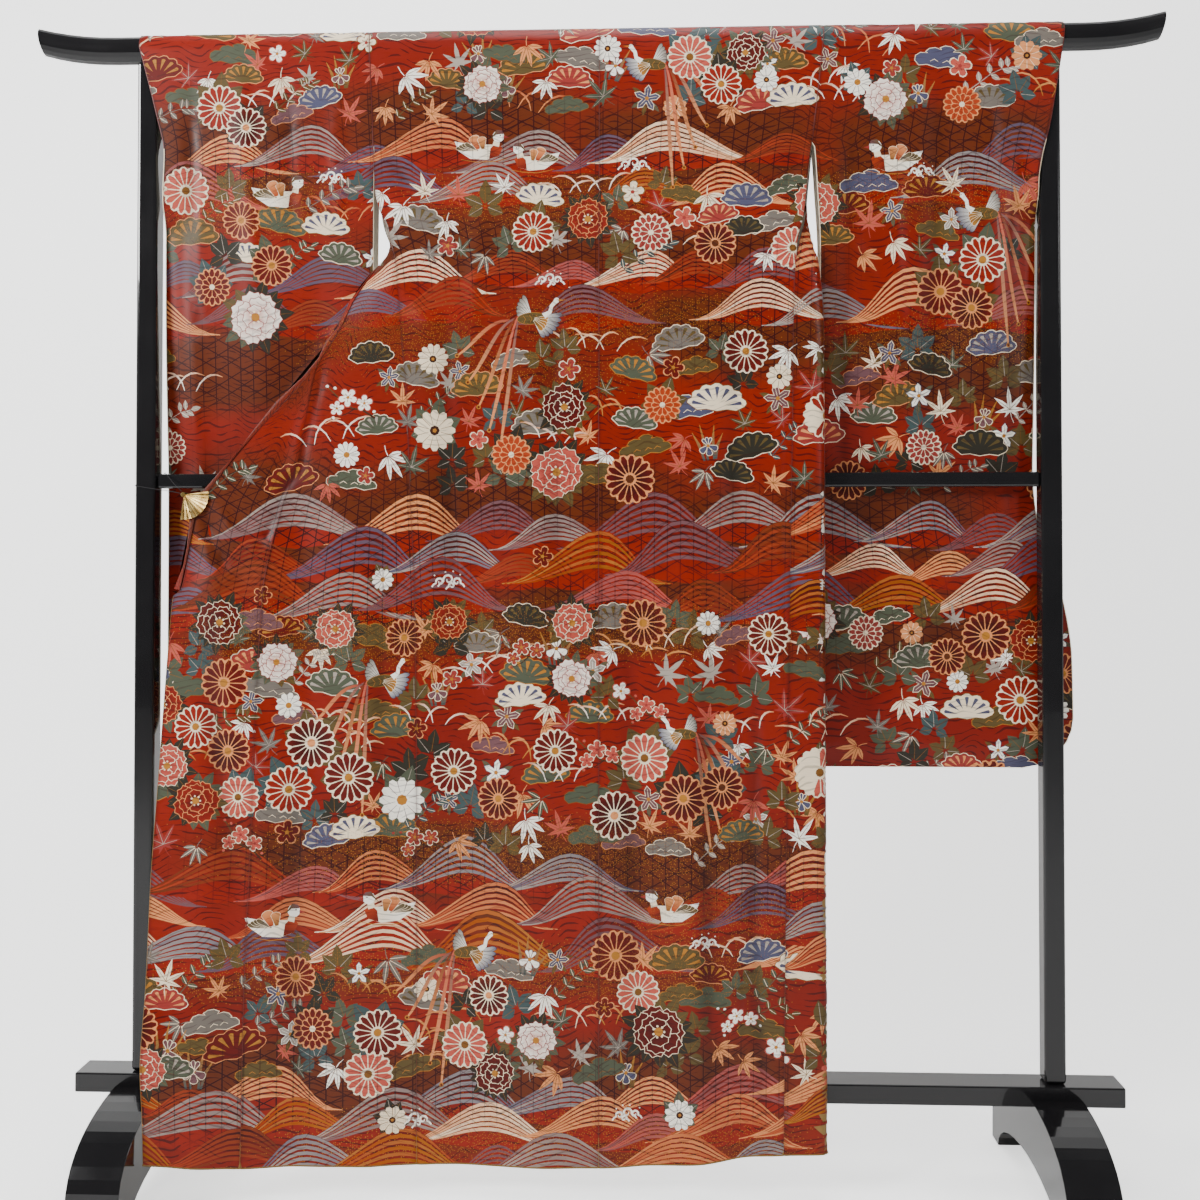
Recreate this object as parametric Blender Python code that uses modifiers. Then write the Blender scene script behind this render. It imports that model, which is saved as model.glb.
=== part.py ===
# Furisode hung on a lacquered kimono stand, seen from the back of the garment.
# Metres, +Z up, origin on the floor under the middle of the stand, -Y towards the viewer.
# The bar runs through both sleeves. The left front is drawn out and held by a fan clip.

import math

import bmesh
import bpy
from mathutils import Vector

# Stand
BAR_HALF_LENGTH = 0.821
BAR_STRAIGHT_HALF = 0.705
BAR_TIP_RISE = 0.0145
BAR_HALF_DEPTH = 0.0165
BAR_HALF_HEIGHT = 0.020
BAR_CENTRE_Z = 1.653
BAR_END_SLANT = 0.008
BAR_END_BULGE = 0.003
POST_X = 0.654
POST_WIDTH = 0.030
POST_DEPTH = 0.032
POST_EDGE = 0.005
RAIL_Z = 1.0155
RAIL_HEIGHT = 0.021
RAIL_DEPTH = 0.020
RAIL_EDGE = 0.003
BEAM_HALF_LENGTH = 0.748
BEAM_TOP = 0.160
BEAM_HEIGHT = 0.028
BEAM_DEPTH = 0.050
BEAM_EDGE = 0.002
FOOT_X = 0.653
FOOT_WIDTH = 0.072
FOOT_HALF_LENGTH = 0.190
FOOT_HEIGHT = 0.142
FOOT_CROWN_POWER = 0.28
FOOT_ARCH_HALF = 0.155
FOOT_ARCH_HEIGHT = 0.055
FOOT_EDGE = 0.004
FIT_GAP = 0.0003

# Cloth
WALL = 0.0018
SEAM_GAP = 0.0003
SIDE_SEAM_APART = 0.0008
ARM_SEAM_APART = 0.0008
STRIP_APART = 0.0006
ARM_OPENING_Z = 1.335
SLEEVE_SEWN_FROM_Z = 1.500
BAR_CLEARANCE = 0.0006
CENTRE_SEAM_X = 0.010
SHOULDER_LINE_Z = 1.640
HEM_Z = 0.050
NECK_HALF_WIDTH = 0.090
NECK_HEIGHT = 0.090
NECK_SIDE_Z = 1.545
COLLAR_WALL = 0.0022
COLLAR_BEND = 0.0020
COLLAR_APART = 0.0008
COLLAR_END_Z = 0.857
OKUMI_FULL_Z = 0.851
OKUMI_TOP_Z = 1.178
SLEEVE_BOTTOM_Z = 0.600
CUFF_END_Z = 1.440
CORNER_RADIUS = 0.075
CLOSED_APART = 0.0013
WRAP_STEPS = 10

# The cloth's middle surface over the bar
WRAP_DEPTH = BAR_HALF_DEPTH + BAR_CLEARANCE + WALL / 2
WRAP_HEIGHT = BAR_HALF_HEIGHT + BAR_CLEARANCE + WALL / 2
FAR = WRAP_DEPTH
NEAR = -WRAP_DEPTH

# Clip
CLIP_PIVOT_X = -0.5840
CLIP_PIVOT_Z = 0.9935
FAN_Y = -0.0498
FAN_RADIUS = 0.036
FAN_RIBS = 10
FAN_FROM_DEG = -98
FAN_TO_DEG = 8
FAN_THICKNESS = 0.0012
FAN_PLEAT = 0.0011
PIN_RADIUS = 0.0034
PIN_FRONT_Y = -0.0535
PIN_BACK_Y = -0.0385
JAW_Y = -0.0402
JAW_RADIUS = 0.030
ELASTIC_RADIUS = 0.0006

LACQUER = ("black lacquer", (0.006, 0.006, 0.007), 0.12, 0.0)
GOLD = ("gilt metal", (0.83, 0.62, 0.25), 0.28, 1.0)
ELASTIC = ("black elastic", (0.01, 0.01, 0.01), 0.7, 0.0)
SILK = ("vermilion silk", (0.52, 0.035, 0.012), 0.42, 0.0)
COLLAR_SILK = ("collar silk", (0.46, 0.028, 0.012), 0.42, 0.0)


# Start with an empty scene
for leftover in list(bpy.data.objects):
    bpy.data.objects.remove(leftover, do_unlink=True)

parts = bpy.data.collections.new("furisode_on_stand")
cutters = bpy.data.collections.new("cutters")
bpy.context.scene.collection.children.link(parts)
bpy.context.scene.collection.children.link(cutters)


def material(name, recipe):
    """One Principled material for one part."""
    made = bpy.data.materials.new(name)
    made.use_nodes = True
    shader = made.node_tree.nodes["Principled BSDF"]
    shader.inputs["Base Color"].default_value = (*recipe[1], 1.0)
    shader.inputs["Roughness"].default_value = recipe[2]
    shader.inputs["Metallic"].default_value = recipe[3]
    return made


def finish(name, mesh, recipe, smooth_below=50):
    """Make an object of a mesh, with its material and shading."""
    made = bpy.data.objects.new(name, mesh)
    parts.objects.link(made)
    mesh.materials.append(material(name, recipe))
    mesh.shade_smooth()
    mesh.set_sharp_from_angle(angle=math.radians(smooth_below))
    return made


def smooth_step(low, high, value):
    t = min(1.0, max(0.0, (value - low) / (high - low)))
    return t * t * (3 - 2 * t)


def blend(a, b, t):
    return a + (b - a) * t


def spread(first, last, count):
    """Evenly spaced values from first to last, count steps apart."""
    return [blend(first, last, n / count) for n in range(count + 1)]


class Table:
    """Rows of sizes by height. A column is read on a curve that never overshoots its rows."""

    def __init__(self, columns, rows):
        self.columns = columns.split()
        self.rows = sorted(rows)
        self.keys = [row[0] for row in self.rows]

    def read(self, name, key):
        place = self.columns.index(name)
        keys = self.keys
        values = [row[place] for row in self.rows]
        if key <= keys[0]:
            return values[0]
        if key >= keys[-1]:
            return values[-1]
        i = max(n for n in range(len(keys) - 1) if keys[n] <= key)
        span = keys[i + 1] - keys[i]
        t = (key - keys[i]) / span
        start = self.slope(values, i) * span
        end = self.slope(values, i + 1) * span
        return (values[i] * (2 * t**3 - 3 * t**2 + 1) + values[i + 1] * (3 * t**2 - 2 * t**3)
                + start * (t**3 - 2 * t**2 + t) + end * (t**3 - t**2))

    def slope(self, values, i):
        keys = self.keys
        if i in (0, len(keys) - 1):
            n = min(i, len(keys) - 2)
            return (values[n + 1] - values[n]) / (keys[n + 1] - keys[n])
        before = (values[i] - values[i - 1]) / (keys[i] - keys[i - 1])
        after = (values[i + 1] - values[i]) / (keys[i + 1] - keys[i])
        if before * after <= 0:
            return 0.0
        return 2 * before * after / (before + after)


def curve_through(points, steps):
    """Points at even distances along a smooth curve that passes the given ones without overshoot."""
    ends = [2 * points[0] - points[1]] + list(points) + [2 * points[-1] - points[-2]]
    ways = [((b - a).normalized() + (c - b).normalized()) * min((b - a).length, (c - b).length)
            for a, b, c in zip(ends, ends[1:], ends[2:])]
    fine = []
    for b, c, leaving, arriving in zip(points, points[1:], ways, ways[1:]):
        reach = (c - b).length
        leaving = leaving * min(1.0, reach / max(leaving.length, 1e-6))
        arriving = arriving * min(1.0, reach / max(arriving.length, 1e-6))
        for t in spread(0.0, 1.0, 12)[:-1]:
            fine.append(b * (2 * t**3 - 3 * t**2 + 1) + c * (3 * t**2 - 2 * t**3)
                        + leaving * (t**3 - 2 * t**2 + t) + arriving * (t**3 - t**2))
    fine.append(points[-1])
    lengths = [0.0]
    for p, q in zip(fine, fine[1:]):
        lengths.append(lengths[-1] + (q - p).length)
    even = []
    for target in spread(0.0, lengths[-1], steps):
        i = max(n for n in range(len(fine) - 1) if lengths[n] <= target + 1e-12)
        even.append(fine[i].lerp(fine[i + 1], (target - lengths[i]) / (lengths[i + 1] - lengths[i])))
    return even


# Soft vertical folds. Each runs between two heights and moves the cloth away from the viewer.
FOLD_COLUMNS = ("top_x", "low_x", "width", "depth", "top_z", "low_z")
BACK_FOLDS = (
    (-0.165, -0.190, 0.045, 0.0050, 1.30, -0.10),
    (-0.080, -0.070, 0.040, -0.0045, 1.10, -0.10),
    (0.060, 0.075, 0.035, 0.0055, 1.00, -0.10),
    (0.140, 0.150, 0.030, -0.0050, 1.20, -0.10),
    (0.205, 0.215, 0.028, 0.0065, 1.25, -0.10),
)
SPREAD_FOLDS = (
    (-0.430, -0.400, 0.030, 0.0060, 1.15, 0.55),
    (-0.560, -0.500, 0.022, -0.0060, 0.96, 0.62),
    (-0.320, -0.310, 0.035, -0.0040, 0.95, -0.10),
    (-0.430, -0.420, 0.035, 0.0050, 0.62, -0.10),
    (-0.540, -0.545, 0.030, -0.0050, 0.58, -0.10),
)
REAR_FOLDS = (
    (0.250, 0.255, 0.030, -0.0040, 1.25, -0.10),
    (0.190, 0.180, 0.035, 0.0030, 1.20, -0.10),
    (0.100, 0.090, 0.035, -0.0030, 1.10, -0.10),
)
SLEEVE_FOLDS = (
    (0.405, 0.395, 0.028, 0.0024, 1.55, 0.40),
    (0.480, 0.490, 0.030, -0.0024, 1.60, 0.40),
    (0.560, 0.565, 0.026, 0.0022, 1.50, 0.40),
)


def fold_depth(folds, x, z):
    total = 0.0
    for row in folds:
        fold = dict(zip(FOLD_COLUMNS, row))
        down = (fold["top_z"] - z) / (fold["top_z"] - fold["low_z"])
        middle = blend(fold["top_x"], fold["low_x"], min(1.0, max(0.0, down)))
        reach = smooth_step(0.0, 0.35, down) * (1 - smooth_step(0.85, 1.15, down))
        total += fold["depth"] * reach * math.exp(-((x - middle) / fold["width"]) ** 2)
    return total


def cloth(name, rows, recipe, wall=WALL):
    """A closed wall of even thickness about a grid of middle points, its rim squared off."""
    high, wide = len(rows), len(rows[0])
    shell = bmesh.new()
    sides = []
    for side in (1, -1):
        made = []
        for i in range(high):
            line = []
            for j in range(wide):
                down = Vector(rows[min(i + 1, high - 1)][j]) - Vector(rows[max(i - 1, 0)][j])
                across = Vector(rows[i][min(j + 1, wide - 1)]) - Vector(rows[i][max(j - 1, 0)])
                normal = across.cross(down).normalized()
                line.append(shell.verts.new(Vector(rows[i][j]) + normal * side * wall / 2))
            made.append(line)
        sides.append(made)
    front, back = sides
    for i in range(high - 1):
        for j in range(wide - 1):
            shell.faces.new((front[i][j], front[i + 1][j], front[i + 1][j + 1], front[i][j + 1]))
            shell.faces.new((back[i][j], back[i][j + 1], back[i + 1][j + 1], back[i + 1][j]))
    rim = [(i, 0) for i in range(high)] + [(high - 1, j) for j in range(1, wide)]
    rim += [(i, wide - 1) for i in range(high - 2, -1, -1)] + [(0, j) for j in range(wide - 2, 0, -1)]
    for (i, j), (k, m) in zip(rim, rim[1:] + rim[:1]):
        shell.faces.new((front[i][j], back[i][j], back[k][m], front[k][m]))
    bmesh.ops.recalc_face_normals(shell, faces=shell.faces)
    mesh = bpy.data.meshes.new(name)
    shell.to_mesh(mesh)
    shell.free()
    return finish(name, mesh, recipe, smooth_below=60)


def over_bar(turn):
    """Depth and height of the cloth's middle surface, turn 0 at the near side and 1 at the far."""
    angle = math.pi * (1 - turn)
    return WRAP_DEPTH * math.cos(angle), BAR_CENTRE_Z + WRAP_HEIGHT * math.sin(angle)


# Back panels, from the hem up and over the bar to the shoulder line on its far side
BACK_LEVELS = (HEM_Z, 0.120, 0.210, 0.330, 0.450, 0.570, 0.690, 0.800, 0.900, 0.976, 1.050, 1.120, 1.178,
               1.240, 1.298, 1.338, 1.390, 1.440, 1.500, 1.545, 1.600, BAR_CENTRE_Z)
BACK_COLUMNS = 7
BACK_LEFT = Table("z side_x y", (
    (0.050, -0.2460, -0.0500),
    (0.419, -0.2470, -0.0470),
    (0.843, -0.2520, -0.0430),
    (0.986, -0.2590, -0.0410),
    (1.143, -0.2660, -0.0390),
    (1.227, -0.2740, -0.0365),
    (1.331, -0.2830, -0.0315),
    (1.378, -0.2960, -0.0270),
    (1.430, -0.3140, -0.0225),
    (1.495, -0.3185, -0.0195),
    (BAR_CENTRE_Z, -0.3260, NEAR),
))
BACK_RIGHT = Table("z side_x y", (
    (0.050, 0.2680, -0.0500),
    (0.419, 0.2720, -0.0470),
    (0.843, 0.2790, -0.0430),
    (1.100, 0.2840, -0.0400),
    (1.241, 0.2860, -0.0360),
    (1.356, 0.2920, -0.0310),
    (1.392, 0.3010, -0.0270),
    (1.482, 0.3110, -0.0210),
    (1.524, 0.3180, -0.0195),
    (BAR_CENTRE_Z, 0.3330, NEAR),
))
HEM_LINE = Table("x z", (
    (-0.610, 0.074),
    (-0.487, 0.056),
    (-0.250, 0.051),
    (0.010, 0.050),
    (0.150, 0.059),
    (0.270, 0.072),
    (0.330, 0.074),
))


def hem_lift(x, z):
    """The hem is gently uneven, and the lift dies out above the knee."""
    return (HEM_LINE.read("z", x) - HEM_Z) * (1 - smooth_step(0.05, 0.50, z))


def back_panel(name, table, side):
    inner_x = CENTRE_SEAM_X + side * SEAM_GAP / 2
    rows = []
    for level in BACK_LEVELS:
        row = []
        for u in spread(0.0, 1.0, BACK_COLUMNS):
            x = blend(inner_x, table.read("side_x", level), u)
            y = table.read("y", level) + fold_depth(BACK_FOLDS, x, level) * (1 - smooth_step(0.9, 1.0, u))
            row.append(Vector((x, y, level + hem_lift(x, level))))
        rows.append(row)
    top = rows[-1]
    for turn in spread(0.0, 1.0, WRAP_STEPS)[1:]:
        y, z = over_bar(turn)
        rows.append([Vector((p.x, y, z)) for p in top])
    low_side = table.read("side_x", SHOULDER_LINE_Z)
    rows.append([Vector((blend(inner_x, low_side, u), FAR, SHOULDER_LINE_Z))
                 for u in spread(0.0, 1.0, BACK_COLUMNS)])
    cloth(name, rows, SILK)


# Front panels. Each starts at the shoulder line behind the bar, comes forward through the gap
# under the arm, and meets the back panel at the side seam.
FRONT_LEVELS = (1.6397, 1.6354, 1.634, 1.630, 1.622, 1.600, 1.575, 1.545, 1.500, 1.455, 1.420, 1.390, 1.362,
                1.350, 1.338, 1.318, 1.298, 1.270, 1.240, 1.210, 1.178, 1.120, 1.050, 0.976, 0.900,
                COLLAR_END_Z, OKUMI_FULL_Z, 0.800, 0.690, 0.570, 0.450, 0.330, 0.210, 0.120, HEM_Z)
FRONT_LEFT = Table("z side_x side_y mid_x mid_y inner_x inner_y", (
    (0.054, -0.2466, -0.0503, -0.3700, -0.0660, -0.4867, -0.0850),
    (0.284, -0.2470, -0.0482, -0.3700, -0.0610, -0.4857, -0.0750),
    (0.491, -0.2474, -0.0465, -0.3650, -0.0550, -0.4807, -0.0650),
    (0.843, -0.2524, -0.0430, -0.3600, -0.0470, -0.4697, -0.0520),
    (0.976, -0.2590, -0.0410, -0.3500, -0.0440, -0.4447, -0.0460),
    (1.050, -0.2624, -0.0403, -0.3400, -0.0420, -0.4197, -0.0440),
    (1.147, -0.2668, -0.0388, -0.3330, -0.0405, -0.4027, -0.0420),
    (1.178, -0.2700, -0.0379, -0.3280, -0.0400, -0.3945, -0.0410),
    (1.210, -0.2730, -0.0370, -0.3220, -0.0390, -0.3740, -0.0400),
    (1.240, -0.2756, -0.0360, -0.3150, -0.0380, -0.3570, -0.0370),
    (1.270, -0.2786, -0.0345, -0.3110, -0.0365, -0.3450, -0.0320),
    (1.298, -0.2810, -0.0330, -0.3060, -0.0340, -0.3290, -0.0260),
    (1.318, -0.2826, -0.0316, -0.3000, -0.0300, -0.3160, -0.0200),
    (1.338, -0.2860, -0.0275, -0.2980, -0.0210, -0.3030, -0.0110),
    (1.350, -0.2910, -0.0200, -0.2970, -0.0110, -0.2890, -0.0040),
    (1.362, -0.2960, -0.0120, -0.2890, -0.0030, -0.2680, 0.0020),
    (1.390, -0.3070, 0.0030, -0.2700, 0.0090, -0.2330, 0.0090),
    (1.420, -0.3130, 0.0120, -0.2560, 0.0150, -0.1980, 0.0130),
    (1.455, -0.3160, 0.0160, -0.2400, 0.0175, -0.1640, 0.0165),
    (1.500, -0.3187, FAR, -0.2200, FAR, -0.1220, FAR),
    (1.545, -0.3210, FAR, -0.2000, FAR, -0.0800, FAR),
    (1.640, -0.3256, FAR, -0.1900, FAR, -0.0600, FAR),
))
FRONT_RIGHT = Table("z side_x side_y fold_x fold_y back_x back_y inner_x inner_y", (
    (0.074, 0.2686, -0.0490, 0.3270, -0.0480, 0.3280, -0.0350, 0.1500, -0.0320),
    (0.419, 0.2724, -0.0468, 0.3270, -0.0455, 0.3280, -0.0330, 0.1500, -0.0310),
    (0.843, 0.2794, -0.0430, 0.3270, -0.0420, 0.3280, -0.0290, 0.1480, -0.0200),
    (1.000, 0.2820, -0.0410, 0.3275, -0.0390, 0.3280, -0.0260, 0.1470, -0.0160),
    (1.100, 0.2844, -0.0400, 0.3275, -0.0375, 0.3280, -0.0240, 0.1460, -0.0130),
    (1.205, 0.2858, -0.0370, 0.3275, -0.0345, 0.3280, -0.0200, 0.1420, -0.0050),
    (1.266, 0.2874, -0.0350, 0.3265, -0.0330, 0.3260, -0.0150, 0.1380, 0.0020),
    (1.326, 0.2900, -0.0320, 0.3210, -0.0270, 0.3180, -0.0060, 0.1340, 0.0080),
    (1.340, 0.2935, -0.0300, 0.3190, -0.0230, 0.3140, -0.0020, 0.1325, 0.0090),
    (1.356, 0.2970, -0.0250, 0.3160, -0.0150, 0.3090, 0.0030, 0.1310, 0.0100),
    (1.392, 0.3070, -0.0080, 0.3110, -0.0020, 0.3000, 0.0090, 0.1270, 0.0130),
    (1.430, 0.3110, 0.0030, 0.3080, 0.0110, 0.2900, 0.0150, 0.1220, 0.0160),
    (1.482, 0.3165, 0.0150, 0.3000, 0.0175, 0.2750, FAR, 0.1120, FAR),
    (1.545, 0.3220, FAR, 0.2900, FAR, 0.2600, FAR, 0.1000, FAR),
    (1.640, 0.3326, FAR, 0.3000, FAR, 0.2600, FAR, 0.0800, FAR),
))
FRONT_LEFT_COLUMNS = 8
FRONT_RIGHT_COLUMNS = 12


def neck_edge(z, side):
    """The neck's cut edge above its sides: a half ellipse about the centre seam."""
    up = min(1.0, (z - NECK_SIDE_Z) / NECK_HEIGHT)
    reach = NECK_HALF_WIDTH * math.sqrt(max(0.0, 1 - up * up))
    return CENTRE_SEAM_X + side * max(reach, SEAM_GAP / 2)


def front_places(level, side, back, front):
    """Where a front panel's section passes. Its side edge keeps to the back panel's where they
    are sewn together, below the arm opening and again at the sleeve."""
    at = {name: front.read(name, level) for name in front.columns[1:]}
    if level < ARM_OPENING_Z:
        at["side_x"] = back.read("side_x", level) + side * SIDE_SEAM_APART
        at["side_y"] = back.read("y", level)
    elif level >= SLEEVE_SEWN_FROM_Z:
        at["side_x"] = back.read("side_x", level)
        at["side_y"] = FAR
    return at


def front_left():
    rows = []
    for level in FRONT_LEVELS:
        at = front_places(level, -1, BACK_LEFT, FRONT_LEFT)
        if level > NECK_SIDE_Z:
            at["inner_x"] = neck_edge(level, -1)
            at["mid_x"] = (at["side_x"] + at["inner_x"]) / 2
        row = []
        for u in spread(0.0, 1.0, FRONT_LEFT_COLUMNS):
            a, b, c = (1 - u) * (1 - 2 * u), 4 * u * (1 - u), u * (2 * u - 1)
            x = a * at["side_x"] + b * at["mid_x"] + c * at["inner_x"]
            y = a * at["side_y"] + b * at["mid_y"] + c * at["inner_y"]
            y += fold_depth(SPREAD_FOLDS, x, level) * smooth_step(0.0, 0.3, u)
            row.append(Vector((x, y, level + hem_lift(x, level))))
        rows.append(row)
    cloth("front_left", rows, SILK)
    return rows


def front_right():
    rows = []
    for level in FRONT_LEVELS:
        at = front_places(level, 1, BACK_RIGHT, FRONT_RIGHT)
        if level > NECK_SIDE_Z:
            at["inner_x"] = neck_edge(level, 1)
            at["fold_x"] = blend(at["side_x"], at["inner_x"], 0.2)
            at["back_x"] = blend(at["side_x"], at["inner_x"], 0.5)
        stops = ("side", "fold", "back", "inner")
        route = [Vector((at[stop + "_x"], at[stop + "_y"], level)) for stop in stops]
        row = curve_through(route, FRONT_RIGHT_COLUMNS)
        for n, p in enumerate(row):
            if level < 1.3 and n > FRONT_RIGHT_COLUMNS / 2:
                p.y += fold_depth(REAR_FOLDS, p.x, level)
            p.z += hem_lift(p.x, level)
        rows.append(row)
    cloth("front_right", rows, SILK)
    return rows


# Overlap strips, sewn to the front panels' inner edges and slanted at the top under the collar
OKUMI_LEVELS = tuple(z for z in FRONT_LEVELS if z <= OKUMI_TOP_Z)
OKUMI_COLUMNS = 5
OKUMI_LEFT = Table("z edge_x edge_y", (
    (0.050, -0.6100, -0.1200),
    (0.120, -0.6125, -0.1190),
    (0.187, -0.6170, -0.1150),
    (0.289, -0.6180, -0.0950),
    (0.423, -0.6190, -0.0780),
    (0.617, -0.6120, -0.0620),
    (0.800, -0.6020, -0.0530),
    (0.851, -0.5975, -0.0510),
    (0.857, -0.5878, -0.0505),
    (0.900, -0.5790, -0.0480),
    (0.955, -0.5700, -0.0465),
    (0.980, -0.5640, -0.0465),
    (1.022, -0.5325, -0.0460),
    (1.080, -0.4835, -0.0440),
    (1.160, -0.4115, -0.0415),
    (1.178, -0.3985, -0.0411),
))
OKUMI_RIGHT = Table("z edge_x edge_y", (
    (0.050, 0.0000, -0.0320),
    (0.419, 0.0000, -0.0310),
    (0.851, 0.0010, -0.0198),
    (0.857, 0.0620, -0.0197),
    (1.000, 0.0950, -0.0155),
    (1.100, 0.1190, -0.0120),
    (1.178, 0.1395, -0.0063),
))


def okumi(name, table, front, side, folds):
    rows = []
    for level, edge_row in zip(OKUMI_LEVELS, front[-len(OKUMI_LEVELS):]):
        start = edge_row[-1] + Vector((side * STRIP_APART, 0.0, 0.0))
        end = Vector((table.read("edge_x", level), table.read("edge_y", level), level))
        end.z += hem_lift(end.x, level)
        row = []
        for u in spread(0.0, 1.0, OKUMI_COLUMNS):
            p = start.lerp(end, u)
            p.y += fold_depth(folds, p.x, level) * smooth_step(0.0, 0.3, u) * (1 - smooth_step(0.7, 1.0, u))
            row.append(p)
        rows.append(row)
    cloth(name, rows, SILK)
    return rows


# The collar follows the panels' own edges from one end up round the neck and down to the other.
# Where it is folded, shown is the width in front, behind the width turned under, bend 1 a full fold.
COLLAR_COLUMNS = "z shown behind bend"
COLLAR_LEFT = Table(COLLAR_COLUMNS, (
    (0.857, 0.0098, 0.0480, 1.0),
    (1.120, 0.0098, 0.0480, 1.0),
    (1.178, 0.0098, 0.0300, 1.0),
    (1.210, 0.0096, 0.0120, 1.0),
    (1.240, 0.0090, 0.0030, 1.0),
    (1.270, 0.0060, 0.0010, 0.5),
    (1.298, 0.0036, 0.0008, 0.0),
    (1.350, 0.0036, 0.0008, 0.0),
    (1.390, 0.0060, 0.0010, 0.0),
    (1.455, 0.0240, 0.0100, 0.0),
    (1.545, 0.0400, 0.0140, 0.0),
    (1.640, 0.0400, 0.0140, 0.0),
))
COLLAR_RIGHT = Table(COLLAR_COLUMNS, (
    (0.857, 0.0400, 0.0140, 0.0),
    (1.640, 0.0400, 0.0140, 0.0),
))


def collar_side(table, panel, strip):
    """Sewn points with the way the cloth runs there and the collar's sizes, from its end to the neck."""
    lines = [row for row in reversed(strip) if row[-1].z > COLLAR_END_Z - FIT_GAP]
    lines += [row for row in reversed(panel) if OKUMI_TOP_Z + 0.001 < row[-1].z < NECK_SIDE_Z + NECK_HEIGHT]
    return [(row[-1], (row[-1] - row[-2]).normalized(),
             [table.read(name, row[-1].z) for name in table.columns[1:]]) for row in lines]


def square_to(direction, along):
    return (direction - along * direction.dot(along)).normalized()


def collar(left_panel, left_strip, right_panel, right_strip):
    route = collar_side(COLLAR_LEFT, left_panel, left_strip)
    route += collar_side(COLLAR_RIGHT, right_panel, right_strip)[::-1]
    last = len(route) - 1
    alongs = [(route[min(i + 1, last)][0] - route[max(i - 1, 0)][0]).normalized() for i in range(last + 1)]
    outs = [square_to(route[i][1], alongs[i]) for i in range(last + 1)]
    outs = [square_to(outs[max(i - 1, 0)] + 2 * outs[i] + outs[min(i + 1, last)], alongs[i])
            for i in range(last + 1)]
    rows = []
    for (sewn, _, (shown, behind, bend)), along, out in zip(route, alongs, outs):
        inside = out.cross(along)
        step = min(COLLAR_BEND, shown / 4)
        row = [sewn + out * COLLAR_APART, sewn + out * shown / 2, sewn + out * (shown - step)]
        steps = [(step, 30), (step, 90), (step, 150), (behind / 2, 180), (behind / 2, 180)]
        for length, heading in steps:
            turn = math.radians(heading * bend)
            row.append(row[-1] + (out * math.cos(turn) + inside * math.sin(turn)) * length)
        rows.append(row)
    cloth("collar", rows, COLLAR_SILK, wall=COLLAR_WALL)


# Sleeves, each one length folded over the bar and closed down the outer edge below the cuff
SLEEVE_SHARES = (0.0, 0.16, 0.32, 0.48, 0.64, 0.80, 0.92, 0.97, 1.0)
SLEEVE_LEVELS = (SLEEVE_BOTTOM_Z, 0.603, 0.612, 0.630, 0.655, 0.690, 0.780, 0.880, 0.960, 1.030, 1.110, 1.200,
                 1.290, 1.370, 1.430, 1.470, 1.524, 1.590, BAR_CENTRE_Z)
SLEEVE_LEFT = Table("z inner_x outer_x near_y far_y", (
    (0.600, -0.3300, -0.6320, 0.0180, 0.0300),
    (0.800, -0.3280, -0.6320, 0.0170, 0.0315),
    (0.950, -0.3260, -0.6320, 0.0165, 0.0310),
    (1.030, -0.3250, -0.6320, 0.0150, 0.0300),
    (1.100, -0.3240, -0.6320, 0.0080, 0.0270),
    (1.200, -0.3230, -0.6320, -0.0020, 0.0240),
    (1.350, -0.3210, -0.6310, -0.0120, 0.0210),
    (1.440, -0.3196, -0.6290, -0.0170, 0.0195),
    (1.495, -0.3188, -0.6265, -0.0192, 0.0185),
    (1.550, -0.3212, -0.6380, -0.0190, FAR),
    (BAR_CENTRE_Z, -0.3263, -0.6650, NEAR, FAR),
))
SLEEVE_RIGHT = Table("z inner_x outer_x near_y far_y", (
    (0.600, 0.3300, 0.6940, 0.0200, 0.0330),
    (0.755, 0.3270, 0.6920, 0.0200, 0.0335),
    (0.850, 0.3260, 0.6780, 0.0195, 0.0335),
    (0.900, 0.3255, 0.6600, 0.0195, 0.0330),
    (0.950, 0.3250, 0.6440, 0.0190, 0.0320),
    (1.030, 0.3245, 0.6360, 0.0155, 0.0310),
    (1.100, 0.3240, 0.6360, 0.0080, 0.0280),
    (1.200, 0.3250, 0.6365, -0.0010, 0.0250),
    (1.250, 0.3270, 0.6365, -0.0045, 0.0240),
    (1.300, 0.3292, 0.6365, -0.0080, 0.0225),
    (1.350, 0.3290, 0.6365, -0.0110, 0.0210),
    (1.440, 0.3240, 0.6365, -0.0170, 0.0195),
    (1.470, 0.3220, 0.6400, -0.0185, 0.0190),
    (1.524, 0.3183, 0.6525, -0.0192, 0.0182),
    (BAR_CENTRE_Z, 0.3333, 0.6740, NEAR, FAR),
))


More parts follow.
